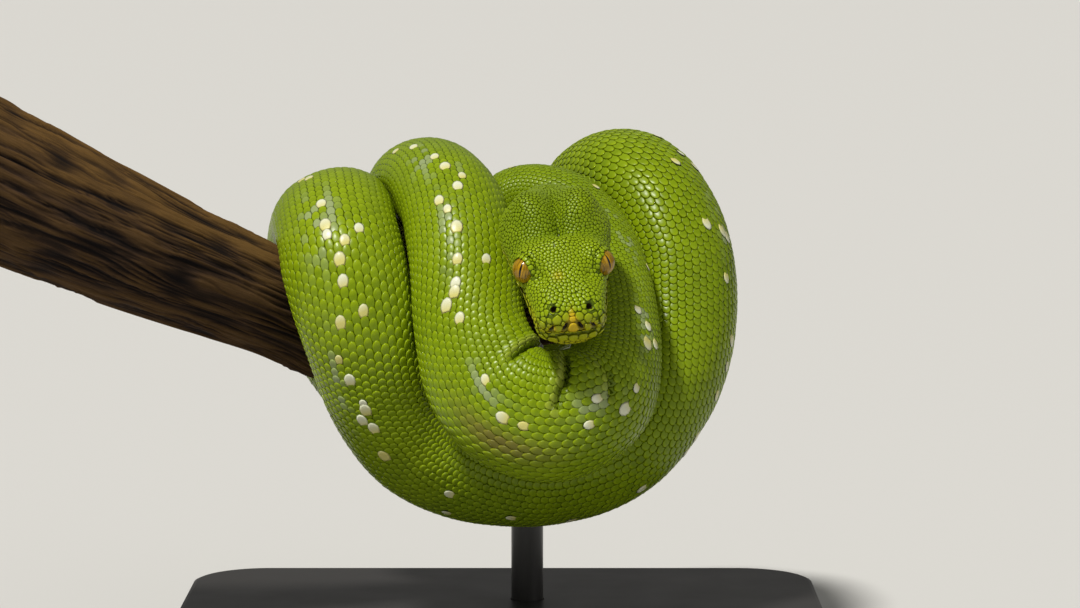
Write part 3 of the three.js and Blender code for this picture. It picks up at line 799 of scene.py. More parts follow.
def read_mesh(obj):
    """A template's vertices and triangles; the template is then removed."""
    mesh = obj.data
    co = np.empty(len(mesh.vertices) * 3)
    mesh.vertices.foreach_get("co", co)
    faces = np.array([list(p.vertices) for p in mesh.polygons])
    bpy.data.objects.remove(obj)
    bpy.data.meshes.remove(mesh)
    return co.reshape(-1, 3), faces


def set_mesh(name, vertices, faces):
    """A new object from arrays of millimetres and of triangles."""
    mesh = bpy.data.meshes.new(name)
    mesh.vertices.add(len(vertices))
    mesh.vertices.foreach_set("co", (vertices * MM).astype(np.float32).ravel())
    mesh.loops.add(faces.size)
    mesh.loops.foreach_set("vertex_index", faces.astype(np.int32).ravel())
    mesh.polygons.add(len(faces))
    mesh.polygons.foreach_set("loop_start", np.arange(len(faces), dtype=np.int32) * 3)
    mesh.update(calc_edges=True)
    mesh.shade_smooth()
    obj = bpy.data.objects.new(name, mesh)
    bpy.context.scene.collection.objects.link(obj)
    return obj


PATCH = 0.0015  # of the unwrapped skin's width, for one unit of a scale's outline


def write_shares(obj, **shares):
    for name, values in shares.items():
        layer = obj.data.attributes.new(name, "FLOAT", "POINT")
        layer.data.foreach_set("value", np.asarray(values, np.float32).ravel())


def write_bake_map(obj, faces, places, template):
    """Each scale is a small patch at its root's place on the unwrapped skin."""
    spots = (places[:, None] + PATCH * template[None, :, :2]).reshape(-1, 2)
    layer = obj.data.uv_layers.new(name="OFBake")
    layer.data.foreach_set("uv", spots[faces.ravel()].astype(np.float32).ravel())


def finish_piece(obj, slot, material, *replaced):
    obj.data.materials.clear()
    obj.data.materials.append(material)
    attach(obj, "root")
    if replaced:
        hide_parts(*replaced)
    return obj


def wrap_grid(name, points):
    """A grid laid round rings of points, its seam and its ends closed."""
    rings, sides = points.shape[:2]
    obj = fresh(bpy.ops.mesh.primitive_grid_add, x_subdivisions=sides, y_subdivisions=rings - 1,
                size=1)
    obj.name = obj.data.name = name
    wrapped = np.concatenate([points, points[:, :1]], axis=1)
    obj.data.vertices.foreach_set("co", (wrapped * MM).astype(np.float32).ravel())
    obj.data.update()
    return obj


def weld(obj):
    only(obj)
    bpy.ops.object.mode_set(mode="EDIT")
    bpy.ops.mesh.select_all(action="SELECT")
    bpy.ops.mesh.remove_doubles(threshold=2e-6)
    bpy.ops.mesh.normals_make_consistent(inside=False)
    bpy.ops.object.mode_set(mode="OBJECT")
    bpy.ops.object.shade_smooth()


def model_scale(outline, rim, crown):
    """One scale: a closed plate, its underside at the rim's height, with a bevelled edge."""
    obj = fresh(bpy.ops.mesh.primitive_circle_add, vertices=len(outline), radius=1,
                fill_type="NGON")
    for vertex, (x, y) in zip(obj.data.vertices, outline):
        vertex.co = (x, y, rim)
    bpy.ops.object.mode_set(mode="EDIT")
    bpy.ops.mesh.select_all(action="SELECT")
    bpy.ops.mesh.extrude_region_move(TRANSFORM_OT_translate={"value": (0, 0, crown - rim)})
    bpy.ops.transform.resize(value=(0.68, 0.72, 1))
    bpy.ops.mesh.poke(offset=0.1)
    bpy.ops.mesh.select_all(action="SELECT")
    bpy.ops.mesh.quads_convert_to_tris()
    bpy.ops.mesh.normals_make_consistent(inside=False)
    bpy.ops.object.mode_set(mode="OBJECT")
    return read_mesh(obj)


def copies(faces, count, size):
    return (faces[None] + (np.arange(count) * size)[:, None, None]).reshape(-1, 3)


# ---------------------------------------------------------------- scales


@functools.lru_cache(maxsize=None)
def phases():
    """Station against the number of scales counted from the head."""
    s = np.arange(FIRST_SCALE, LAST_SCALE, 0.5)
    pitch = bpy.context.scene.python_coat.pitch * track(SCALE_PITCH, s)
    return s, np.concatenate([[0], np.cumsum(0.5 / pitch[:-1])])


def station_of(phase):
    s, count = phases()
    return np.interp(phase, count, s)


SCALE_OUTLINE = (
    (0.0, 0.64), (0.36, 0.5), (0.58, 0.18), (0.6, -0.2), (0.42, -0.6),
    (-0.42, -0.6), (-0.6, -0.2), (-0.58, 0.18), (-0.36, 0.5),
)
SCALE_WIDTH, SCALE_LENGTH = 1.2, 1.24  # of that outline
SCALE_RIM, SCALE_CROWN, BEAD_RIM = 0.36, 0.6, 0.4  # heights, over the scale's thickness
FLECK_WIDTH, FLECK_LENGTH = 1.72, 2.1  # of a white scale, over the size in FLECKS
FLECK_RISE = 0.22  # how much higher a white scale stands
SPECKLED = 0.42  # of the scales in a pale patch, the share that is pale
THICKEST = 18.8  # half width of the body where scales are thickest


def scale_size(s):
    """Thickness of the scales, over that on the thickest coils."""
    return np.clip(track(HALF_WIDTH, s) / THICKEST, 0.4, 1)


def lay_scales(name, first, last):
    """Overlapping scales on one length of the body."""
    skin, coat = hide(), bpy.context.scene.python_coat
    template, faces = model_scale(SCALE_OUTLINE, SCALE_RIM, SCALE_CROWN)
    across, along, up = template.T
    half = (SCALE_ROWS - 1) // 2
    total = phases()[1][-1]
    ring, row = np.meshgrid(np.arange(1, total - 1), np.arange(-half, half + 1), indexing="ij")
    phase = (ring + 0.5 * (np.abs(row) % 2)).ravel()
    row = row.ravel()
    s = station_of(phase)
    keep = (s >= first) & (s < last)
    phase, row, s = phase[keep], row[keep], s[keep]
    chance = np.random.default_rng(int(first))
    tint = chance.normal(0, 1, len(s))
    jitter = chance.uniform(-0.05, 0.05, (3, len(s)))

    def share(rows):
        return rows / (half + 0.5) * (1 - BELLY_SHARE)

    angle = skin.angle_of(s, share(row.astype(float)))
    centre = skin.at(s, angle)[0]
    fleck_size = np.zeros(len(s))
    for spot, size in zip(*fleck_places()):
        gap = np.linalg.norm(centre - spot, axis=1)
        k = np.argmin(gap)
        if gap[k] < FLECK_CATCH:
            fleck_size[k] = size
    fleck = (fleck_size > 0) * 1.0
    run = np.linalg.norm(skin.at(station_of(phase + 1), angle)[0] - centre, axis=1)
    beside = skin.at(s, skin.angle_of(s, share(row + np.where(row > 0, -1.0, 1.0))))[0]
    span = np.linalg.norm(beside - centre, axis=1)
    wide = np.where(fleck > 0, fleck_size * FLECK_WIDTH / (SCALE_WIDTH * span), 1)
    long = np.where(fleck > 0, fleck_size * FLECK_LENGTH / (SCALE_LENGTH * run), 1)
    v = phase[:, None] + along * long[:, None] + jitter[0][:, None]
    u = row[:, None] + across * (wide + jitter[1])[:, None]
    at_s = station_of(v)
    points, normals = skin.at(at_s, skin.angle_of(at_s, share(u)))
    slope = 0.5 + (along + 0.5) * coat.tilt * (1 + 3 * jitter[2][:, None])
    height = up * coat.thickness / MM * scale_size(s)[:, None] * slope * 2
    height = height + fleck[:, None] * FLECK_RISE
    vertices = points + normals * height[..., None]
    marks = markings(centre, s, angle)
    marks["white"] = fleck
    count = len(template)
    all_faces = copies(faces, len(s), count)
    obj = set_mesh(name, vertices.reshape(-1, 3), all_faces)
    relief = np.tile(0.8 + 0.2 * up / SCALE_CROWN, len(s))
    # Lime tips come in after the neck: a darker neck, partly its own colour and partly painted
    # shade behind the head.
    tips = along + 0.5 * smoothstep(s, 60, 210)[:, None]
    spread = {key: np.repeat(value, count) for key, value in marks.items()}
    speck = chance.random(len(s)) < SPECKLED
    spread["pale"] = np.repeat(marks["pale"] * speck, count)
    write_shares(obj, relief=relief, tint=np.repeat(tint, count), yellow=0 * relief,
                 dark=0 * relief, length=tips, **spread)
    place = np.stack([(s - first) / (last - first), np.mod(angle / (2 * np.pi), 1)], -1)
    write_bake_map(obj, all_faces, 0.02 + 0.96 * place, template)
    return obj


BELLY_STRIPS = 6  # lengths that the belly is cut into where it is unwrapped
BELLY_GRID = (13, 4)  # points across a plate and along it
BELLY_COUNT = 0.78  # belly plates to one scale of a row
BELLY_THICKNESS = 0.25


def lay_belly(name):
    """One row of wide plates under the body."""
    skin, coat = hide(), bpy.context.scene.python_coat
    wide, long = BELLY_GRID
    plate = fresh(bpy.ops.mesh.primitive_grid_add, x_subdivisions=wide - 1,
                  y_subdivisions=long - 1, size=2)
    bpy.ops.object.mode_set(mode="EDIT")
    bpy.ops.mesh.select_all(action="SELECT")
    bpy.ops.mesh.quads_convert_to_tris()
    bpy.ops.object.mode_set(mode="OBJECT")
    template, faces = read_mesh(plate)
    template[:, 1] = template[:, 1] * 0.66 + 0.12
    across, down = template[:, 0], template[:, 1]
    s, count = phases()
    slower = count * BELLY_COUNT
    ring = np.arange(1, slower[-1] - 1)
    at_s = np.interp(ring[:, None] + down, slower, s)
    share = 1 - np.abs(across) * (BELLY_SHARE * 1.1)
    angle = skin.angle_of(at_s, np.where(across < 0, -1, 1)[None] * share[None])
    points, normals = skin.at(at_s, angle)
    root, edge = down < -0.5, np.abs(across) > 0.99
    height = np.where(root, -0.3, coat.thickness / MM * (0.6 + 1.1 * (down + 0.54)))
    height = np.where(down > 0.75, height - 0.05, height)
    height = np.where(edge, 0.02, height)
    vertices = points + normals * (height[None] * scale_size(at_s))[..., None]
    all_faces = copies(faces, len(ring), len(template))
    obj = set_mesh(name, vertices.reshape(-1, 3), all_faces)
    only(obj)
    bpy.ops.object.modifier_add(type="SOLIDIFY")
    thick = obj.modifiers[-1]
    thick.thickness, thick.offset = BELLY_THICKNESS * MM, -1
    flat = np.zeros(vertices.shape[:2])
    centre = skin.at(at_s.ravel(), angle.ravel())[0]
    marks = markings(centre, at_s.ravel(), angle.ravel())
    tint = np.random.default_rng(5).normal(0, 1, len(ring))
    relief = np.broadcast_to(np.clip(0.5 + height / 0.4, 0, 1)[None], flat.shape)
    length = np.broadcast_to((down + 0.5)[None], flat.shape)
    write_shares(obj, relief=relief, tint=np.repeat(tint, len(template)), yellow=flat, dark=flat,
                 length=length, **marks)
    length_in = np.interp(ring, slower, s) / s[-1] * BELLY_STRIPS
    strip = np.minimum(np.floor(length_in), BELLY_STRIPS - 1)
    place = np.stack([length_in - strip, (strip + 0.5) / BELLY_STRIPS], -1)
    write_bake_map(obj, all_faces, 0.02 + 0.96 * place, template)
    bpy.ops.object.modifier_apply(modifier=thick.name)
    return obj


# ---------------------------------------------------------------- scales of the head


def bead_spacing(place):
    """Distance between the small scales, over the head."""
    back, aside, up = place[..., 0], np.abs(place[..., 1]), place[..., 2]
    crown = 1.03 + 0.12 * smoothstep(aside, 8, 14)
    snout = 1.4 - 0.22 * smoothstep(back, 3, 10)
    top = snout + (crown - snout) * smoothstep(back, 6, 15)
    chin = smoothstep(-up, 5, 8)
    return top * (1 - chin) + 1.5 * chin


# Larger plates of the snout: back, aside, up, width. Those of the second list are on each side.
MIDDLE_PLATES = ((0.3, 0, -0.8, 2.9), (0.5, 0, 1.6, 1.8), (1.0, 0, 3.1, 1.2), (0.2, 0, -5.2, 2.6))
SIDE_PLATES = ((0.8, 2.0, 1.8, 2.0), (2.2, 3.5, 4.8, 1.5), (2.6, 7.4, 3.4, 1.6),
               (0.9, 4.5, 1.4, 2.3), (0.8, 4.1, -1.4, 2.3), (2.4, 7.7, -0.8, 2.4), (*NOSTRIL, 1.9))
LIP_PLATES, FRONT_LIP_PLATES = 13, 3
LIP_FIRST, LIP_PITCH = 1.1, 2.85
LIP_ASIDE = 20.0  # a lip plate of the side is found by its place along and up alone
ABOVE_MOUTH, BELOW_MOUTH = 1.75, 1.65
LID_SCALES, LID_SCALE_WIDTH = 17, 1.35
LID_MARGIN = 9  # degrees from the lid's edge to the middles of its scales
SEEDS_TRIED, SETTLING = 46000, 4
BEAD_PACKING, PLATE_ROOM = 0.79, 0.8  # closest seeds, over their spacing


def plate_seeds():
    """Middles of the larger plates: lips, snout and the ring round each eye."""
    seeds = list(MIDDLE_PLATES)
    for sign in (-1, 1):
        seeds += [(back, sign * aside, rise, width) for back, aside, rise, width in SIDE_PLATES]
        for back, aside, rise, half_length in LIP_PITS:
            for part in (-0.5, 0.5):
                seeds.append((back, sign * (aside + SLOT_ASIDE * part * half_length),
                              rise - SLOT_DROP * part * half_length, 0.45 + 0.45 * half_length))
        for k in range(LIP_PLATES):
            front = k < FRONT_LIP_PLATES
            back = LIP_FIRST + LIP_PITCH * k
            aside = sign * (2.9 + 2.6 * k if front else LIP_ASIDE)
            if not front:
                seeds.append((back, aside, track(MOUTH_LINE, back) + ABOVE_MOUTH, 2.6))
            back = 0.6 + 0.9 * k if front else back
            seeds.append((back, aside, track(MOUTH_LINE, back) - BELOW_MOUTH, 2.5))
        centre, opening = eye(sign, EYE_OPENING)
        upright = square(head_way(0, 0, 1), opening)
        around = np.cross(opening, upright)
        tilt = math.radians(LID_ANGLE + LID_MARGIN)
        for k in range(LID_SCALES):
            turn = 2 * math.pi * k / LID_SCALES
            rim = upright * math.cos(turn) + around * math.sin(turn)
            spot = (opening * math.cos(tilt) + rim * math.sin(tilt)) * (EYE_RADIUS + 0.5)
            seeds.append((*on_head(centre + spot), LID_SCALE_WIDTH))
    return np.array(seeds)


def scatter_seeds():
    """Stations, angles, middles and spacings of the head's scales, and which are to be built."""
    skin = hide()
    chance = np.random.default_rng(23)
    rings = int(np.searchsorted(skin.stations, HEAD_END))
    cell = skin.points[:rings + 1]
    run = np.linalg.norm(np.diff(cell, axis=0), axis=-1)
    width = np.linalg.norm(np.roll(cell, -1, 1) - cell, axis=-1)
    width = (width[1:] + width[:-1]) / 2
    spacing = bead_spacing(on_head(cell[:-1]))
    weight = (run * width / spacing**2).ravel()
    picked = chance.choice(weight.size, SEEDS_TRIED, p=weight / weight.sum())
    row, column = np.divmod(picked, skin.sides)
    row = row + chance.random(len(row))
    column = column + chance.random(len(column))
    s = np.interp(row, np.arange(len(skin.stations)), skin.stations)
    angle = column * 2 * np.pi / skin.sides
    points = skin.at(s, angle)[0]
    place = on_head(points)
    apart = bead_spacing(place) * BEAD_PACKING
    plates = plate_seeds()
    targets = off_head(plates[:, :1], plates[:, 1:2], plates[:, 2:3])
    fixed = []
    for target, (back, aside, rise) in zip(targets, plates[:, :3]):
        if abs(aside) > LIP_ASIDE - 1:
            side_on = np.where(place[:, 1] * aside > 0, 0, 50)
            gap = np.hypot(place[:, 0] - back, place[:, 2] - rise) + side_on
        else:
            gap = np.linalg.norm(points - target, axis=1)
        fixed.append(int(np.argmin(gap)))
    chosen, sizes = [], []
    free = np.ones(len(points), bool)
    for k, width in zip(fixed, plates[:, 3]):
        chosen.append(k)
        sizes.append(width)
        free &= np.linalg.norm(points - points[k], axis=1) > width * PLATE_ROOM
    for k in range(len(points)):
        if free[k]:
            chosen.append(k)
            sizes.append(apart[k])
            free &= np.linalg.norm(points - points[k], axis=1) > apart[k]
    chosen = np.array(chosen)
    for _ in range(SETTLING):
        owner = nearest(points, points[chosen])
        sums = np.stack([np.bincount(owner, c, len(chosen)) for c in points.T], -1)
        counts = np.bincount(owner, minlength=len(chosen))
        ideal = sums / np.maximum(counts, 1)[:, None]
        moved = nearest(ideal[len(fixed):], points)
        chosen[len(fixed):] = np.where(counts[len(fixed):] > 0, moved, chosen[len(fixed):])
    keep = np.unique(chosen, return_index=True)[1]
    keep.sort()
    chosen, sizes = chosen[keep], np.array(sizes)[keep]
    centres = points[chosen]
    nostril, lips = pit_depths(centres)
    clear = (nostril < 0.4) & (lips < 0.55)
    for sign in (-1, 1):
        centre = eye(sign, EYE_OPENING)[0]
        clear &= np.linalg.norm(centres - centre, axis=1) > EYE_RADIUS + 0.1
    return s[chosen], angle[chosen], centres, sizes, clear


def nearest(points, targets):
    """For each point the number of the nearest target."""
    result = np.empty(len(points), int)
    square_sum = np.sum(targets**2, axis=1)
    for first in range(0, len(points), 3000):
        part = slice(first, first + 3000)
        result[part] = np.argmin(square_sum - 2 * points[part] @ targets.T, axis=1)
    return result


BEAD_SIDES = 12


def lay_head_scales(names):
    """Small bead-like scales that meet edge to edge, in as many pieces as there are names."""
    skin = hide()
    s, angle, centres, sizes, clear = scatter_seeds()
    normals = skin.at(s, angle)[1]
    corners = 2 * math.pi * np.arange(BEAD_SIDES) / BEAD_SIDES
    outline = [(math.cos(t), math.sin(t)) for t in corners]
    template, faces = model_scale(outline, BEAD_RIM, SCALE_CROWN)
    facing_front = np.abs(normals @ unit(HEAD_BACK)) > 0.8
    first_axis = unit(np.cross(normals, np.where(facing_front[:, None], HEAD_UP, HEAD_BACK)))
    second_axis = np.cross(normals, first_axis)
    gap = np.sum((centres[:, None] - centres[None]) ** 2, axis=2)
    near = np.argsort(gap, axis=1)[:, 1:15]
    away = centres[near] - centres[:, None]
    x = np.einsum("ijk,ik->ij", away, first_axis)
    y = np.einsum("ijk,ik->ij", away, second_axis)
    own_part = sizes[:, None] / (sizes[:, None] + sizes[near])
    half = (x**2 + y**2) * own_part
    reach = np.repeat(0.66 * sizes[:, None] + 0.35, BEAD_SIDES, axis=1)
    for k, turn in enumerate(corners):
        forward = x * math.cos(turn) + y * math.sin(turn)
        cut = np.where(forward > 1e-6, half / np.maximum(forward, 1e-6), np.inf)
        reach[:, k] = np.minimum(reach[:, k], cut.min(axis=1))
    reach = np.minimum(reach, 1.9 * reach.min(axis=1, keepdims=True) + 0.3)
    direction = np.arctan2(template[:, 1], template[:, 0])
    corner = np.round(direction / (2 * math.pi / BEAD_SIDES)).astype(int) % BEAD_SIDES
    share = np.hypot(template[:, 0], template[:, 1])
    radius = reach[:, corner] * share[None] * 0.99
    size = reach.mean(axis=1)[:, None]
    height = template[None, :, 2] * (0.28 + 0.36 * size)
    vertices = (centres[:, None] + first_axis[:, None] * (radius * np.cos(direction))[..., None]
                + second_axis[:, None] * (radius * np.sin(direction))[..., None]
                + normals[:, None] * height[..., None])
    yellow, dark = head_markings(centres)
    # Painted light: head scales carry more lime towards the lit snout and little on the shaded
    # crown.
    snout_light = 0.45 + 0.5 * smoothstep(on_head(centres)[:, 0], 31, 22)
    tint = np.random.default_rng(31).normal(0, 1, len(s))
    marks = markings(centres, s, angle)
    count = len(template)
    cuts = np.linspace(0, HEAD_END + 1, len(names) + 1)
    made = []
    for name, low, high in zip(names, cuts, cuts[1:]):
        own = np.nonzero(clear & (s >= low) & (s < high))[0]
        all_faces = copies(faces, len(own), count)
        obj = set_mesh(name, vertices[own].reshape(-1, 3), all_faces)
        relief = np.tile(0.9 + 0.1 * template[:, 2] / SCALE_CROWN, len(own))
        point_yellow, point_dark = head_markings(vertices[own].reshape(-1, 3))
        point_yellow = np.maximum(point_yellow, np.repeat(yellow[own], count))
        spread = {key: np.repeat(value[own], count) for key, value in marks.items()}
        write_shares(obj, relief=relief, tint=np.repeat(tint[own], count),
                     yellow=point_yellow, dark=point_dark,
                     length=np.repeat(snout_light[own], count), **spread)
        outward = 0.06 + 0.9 * (s[own] + 2) / (HEAD_END + 2)
        way = np.stack([np.cos(angle[own]), np.sin(angle[own])], -1)
        write_bake_map(obj, all_faces, 0.5 + 0.48 * outward[:, None] * way, template)
        made.append(obj)
    return made


# ---------------------------------------------------------------- materials


class Wire:
    """A socket that can be reckoned with."""

    def __init__(self, finish, socket):
        self.finish, self.socket = finish, socket

    def reckon(self, operation, *values):
        node = self.finish.node("ShaderNodeMath", {"operation": operation}, dict(enumerate(values)))
        return self.finish.out(node)

    def __add__(self, other):
        return self.reckon("ADD", self, other)

    def __sub__(self, other):
        return self.reckon("SUBTRACT", self, other)

    def __rsub__(self, other):
        return self.reckon("SUBTRACT", other, self)

    def __mul__(self, other):
        return self.reckon("MULTIPLY", self, other)

    def __truediv__(self, other):
        return self.reckon("DIVIDE", self, other)

    def __pow__(self, other):
        return self.reckon("POWER", self, other)

    def clamp(self):
        return self.reckon("MINIMUM", self.reckon("MAXIMUM", self, 0.0), 1.0)

    def size(self):
        return self.reckon("ABSOLUTE", self)

    __radd__ = __add__
    __rmul__ = __mul__


class Finish:
    """A material being mixed."""

    def __init__(self, name):
        self.material = bpy.data.materials.new(name)
        self.material.use_nodes = True
        self.tree = self.material.node_tree
        self.tree.nodes.clear()

    def node(self, kind, settings=None, sockets=None):
        made = self.tree.nodes.new(kind)
        for key, value in (settings or {}).items():
            setattr(made, key, value)
        for key, value in (sockets or {}).items():
            if isinstance(value, Wire):
                self.tree.links.new(value.socket, made.inputs[key])
            else:
                made.inputs[key].default_value = value
        return made

    def out(self, made, output=0):
        return Wire(self, made.outputs[output])

    def share(self, name):
        return self.out(self.node("ShaderNodeAttribute", {"attribute_name": name}), "Fac")

    def mix(self, factor, first, second):
        made = self.node("ShaderNodeMix", {"data_type": "RGBA"}, {0: factor, 6: first, 7: second})
        return self.out(made, 2)

    def place(self, scale=(1, 1, 1), source="Object"):
        at = self.out(self.node("ShaderNodeTexCoord"), source)
        return self.out(self.node("ShaderNodeMapping", {}, {"Vector": at, "Scale": scale}))

    def clouds(self, vector, scale, detail=3.0, roughness=0.5):
        sockets = {"Vector": vector, "Scale": scale, "Detail": detail, "Roughness": roughness}
        return self.out(self.node("ShaderNodeTexNoise", {}, sockets), "Fac")

    def bump(self, height, strength, distance):
        sockets = {"Height": height, "Strength": strength, "Distance": distance}
        return self.out(self.node("ShaderNodeBump", {}, sockets))

    def surface(self, **sockets):
        named = {key.replace("_", " "): value for key, value in sockets.items()}
        shader = self.node("ShaderNodeBsdfPrincipled", {}, named)
        end = self.node("ShaderNodeOutputMaterial")
        self.tree.links.new(shader.outputs[0], end.inputs["Surface"])
        return self.material


def rgba(colour, share=1.0):
    return (colour[0] * share, colour[1] * share, colour[2] * share, 1.0)


@functools.lru_cache(maxsize=None)
def scaly_green():
    """The animal's colour, alike on skin and scales, read from the markings they carry, with
    painted light and shade: shade in the creases, nostrils, lip pits and mouth line, highlight on
    the creases' lips, a lighter snout and a darker crown.
    """
    colours = bpy.context.scene.python_colours
    finish = Finish("scaly_green")
    relief, tint = finish.share("relief"), finish.share("tint")
    where = finish.place()
    broad = finish.clouds(where, 28.0, 2.0)
    mottle = finish.clouds(where, 150.0, 3.0)
    leaf = finish.mix((broad * 1.2 - 0.35).clamp(), rgba(colours.leaf), rgba(colours.lime))
    leaf = finish.mix((tint * 0.1 + mottle * 0.45 - 0.05).clamp(), leaf, rgba(colours.deep))
    length = finish.share("length")
    # Lime on the scales' tips. On the head it is painted light, strongest on the snout; on the neck
    # the tips carry less, partly as painted shade.
    leaf = finish.mix((length * 0.9 - 0.45).clamp(), leaf, rgba(colours.lime, 1.2))
    leaf = finish.mix(finish.share("belly") * 0.75, leaf, rgba(colours.belly))
    leaf = finish.mix(finish.share("brown") * 0.65, leaf, rgba(colours.brown))
    leaf = finish.mix(finish.share("yellow") * 0.85, leaf, rgba(colours.yellow))
    leaf = finish.mix(finish.share("pale") * 0.7, leaf, rgba(colours.pale))
    cream = finish.mix((1.0 - length + tint * 0.3).clamp(), rgba(colours.white),
                       rgba(colours.cream))
    leaf = finish.mix(finish.share("white"), leaf, cream)
    seam = finish.mix(finish.share("white") * 0.5, rgba(colours.seam), rgba(colours.pale, 0.6))
    # Painted highlight: the creases' upper lips are paled towards cream.
    leaf = finish.mix(finish.share("lip") * 0.22, leaf, rgba(colours.cream))
    # Painted shade: deep in the creases the colour goes over to the seam's dark green.
    shown = finish.mix((relief - finish.share("crease_shade") * 0.75).clamp(), seam, leaf)
    # Painted shade: nostrils, lip pits and the mouth line go towards near black.
    shown = finish.mix((finish.share("dark") * 1.6 - 0.25).clamp(), shown, rgba(colours.pit))
    grain = finish.clouds(where, 1400.0, 2.0)
    return finish.surface(
        Base_Color=shown,
        Roughness=(0.18 + 0.22 * mottle).clamp(),
        Specular_IOR_Level=0.17,
        Normal=finish.bump(grain, 0.12, 0.00012),
    )


def eye_finish(name, centre, gaze, upright):
    """A golden iris with an upright slit, seen through a clear wet scale."""
    colours = bpy.context.scene.python_colours
    finish = Finish(name)
    across = np.cross(upright, gaze)
    at = finish.out(finish.node("ShaderNodeTexCoord"), "Object")
    moved = finish.out(finish.node("ShaderNodeVectorMath", {"operation": "SUBTRACT"},
                                   {0: at, 1: tuple(centre * MM)}))

    def along(axis):
        node = finish.node("ShaderNodeVectorMath", {"operation": "DOT_PRODUCT"},
                           {0: moved, 1: tuple(axis / (EYE_RADIUS * MM))})
        return finish.out(node, "Value")

    x, z, depth = along(across), along(upright), along(gaze)
    reach = (x * x + z * z) ** 0.5
    streaks = finish.out(finish.node("ShaderNodeCombineXYZ", {}, {0: x * 11.0, 1: z * 1.1}))
    veins = finish.clouds(streaks, 1.0, 4.0, 0.65)
    blotch = finish.clouds(moved, 900.0, 3.0)
    iris = finish.mix((veins * 5.0 - 2.0).clamp(), rgba(colours.iris, 0.25),
                      rgba(colours.iris, 1.2))
    iris = finish.mix((blotch * 1.6 - 0.65).clamp(), iris, rgba(colours.iris, 0.6))
    glow = (1.0 - (x.size() - 0.12).size() * 9.0).clamp() * (1.0 - (z / 0.8) ** 2.0).clamp()
    iris = finish.mix(glow * 0.5, iris, rgba(colours.iris, 1.7))
    rim = ((reach - 0.86) / 0.12).clamp()
    iris = finish.mix(rim, iris, rgba(colours.pit))
    slit = ((0.1 * (1.0 - (z / 0.66) ** 2.0).clamp() - x.size()) / 0.03).clamp()
    facing = (depth * 8.0).clamp()
    shown = finish.mix(slit * facing, iris, (0.004, 0.003, 0.002, 1))
    return finish.surface(Base_Color=shown, Roughness=0.3, Specular_IOR_Level=0.15,
                          Coat_Weight=0.6, Coat_Roughness=0.02)


def bark_finish():
    colours = bpy.context.scene.python_colours
    finish = Finish("weathered_bark")
    grain = finish.place(scale=(5, 110, 1), source="UV")
    streak = finish.clouds(grain, 1.0, 6.0, 0.7)
    patch = finish.clouds(finish.place(), 60.0, 4.0)
    furrow = finish.share("furrow")
    # Painted light: the top of the perch is paler, broken up by paler patches at random.
    dry = ((finish.share("dry") - 0.55) * 2.6 + patch * 1.6 - 0.8).clamp()
    wood = finish.mix((streak * 3.6 - 1.3).clamp(), rgba(colours.bark, 0.5),
                      rgba(colours.bark, 1.7))
    wood = finish.mix(dry * 0.6, wood, rgba(colours.bark_crest, 0.7))
    # The fibres' crests are paler, and paler still on the top as painted light.
    crest = (1.25 - furrow * 2.2).clamp() * (0.35 + dry * 0.6)
    wood = finish.mix(crest, wood, rgba(colours.bark_crest))
    wood = finish.mix((furrow * 2.6 - 1.35).clamp(), wood, rgba(colours.bark_hollow))
    fine = finish.clouds(finish.place(scale=(20, 600, 1), source="UV"), 1.0, 4.0, 0.7)
    wood = finish.mix((fine * 3.0 - 1.4).clamp() * 0.5, wood, rgba(colours.bark_hollow))
    return finish.surface(
        Base_Color=wood,
        Specular_IOR_Level=0.1,
        Roughness=(0.72 + 0.25 * streak).clamp(),
        Normal=finish.bump(streak * 0.7 + fine * 0.3, 0.75, 0.0011),
    )


def cut_wood_finish():
    colours = bpy.context.scene.python_colours
    finish = Finish("cut_wood")
    kind = {"wave_type": "RINGS", "rings_direction": "Z"}
    sockets = {"Vector": finish.place(source="UV"), "Scale": 2.2, "Distortion": 1.5, "Detail": 2.0}
    rings = finish.out(finish.node("ShaderNodeTexWave", kind, sockets), "Fac")
    speck = finish.clouds(finish.place(), 500.0, 4.0)
    wood = finish.mix((rings * 0.6 + speck * 0.3).clamp(), rgba(colours.cut_wood),
                      rgba(colours.cut_wood, 0.55))
    return finish.surface(Base_Color=wood, Roughness=0.85, Normal=finish.bump(speck, 0.4, 0.0005))


def stand_finish(name, colour, roughness):
    finish = Finish(name)
    haze = finish.clouds(finish.place(), 60.0, 3.0)
    fine = finish.clouds(finish.place(), 2400.0, 2.0)
    shown = finish.mix(haze, rgba(colour), rgba(colour, 1.35))
    return finish.surface(Base_Color=shown, Roughness=(roughness - 0.06 + 0.12 * haze).clamp(),
                          Normal=finish.bump(fine, 0.25, 0.00006))


# ---------------------------------------------------------------- settings


def number(name, about, value, **more):
    return bpy.props.FloatProperty(name=name, description=about, default=value, **more)


class PYTHON_PG_coat(bpy.types.PropertyGroup):
    depth: number("Coat depth", "How far the skin lies under the scales' tops", 0.00045,
                  unit="LENGTH")
    thickness: number("Scale thickness", "Height of one scale of the trunk at its middle", 0.00034,
                      unit="LENGTH")
    tilt: number("Tilt", "How much higher a scale's tip stands than its root", 0.55)
    pitch: number("Pitch", "Length of the scales, over their usual length", 1.0)


def colour_property(name, about, value):
    return bpy.props.FloatVectorProperty(name=name, description=about, default=value,
                                         subtype="COLOR", size=3, min=0, max=1)


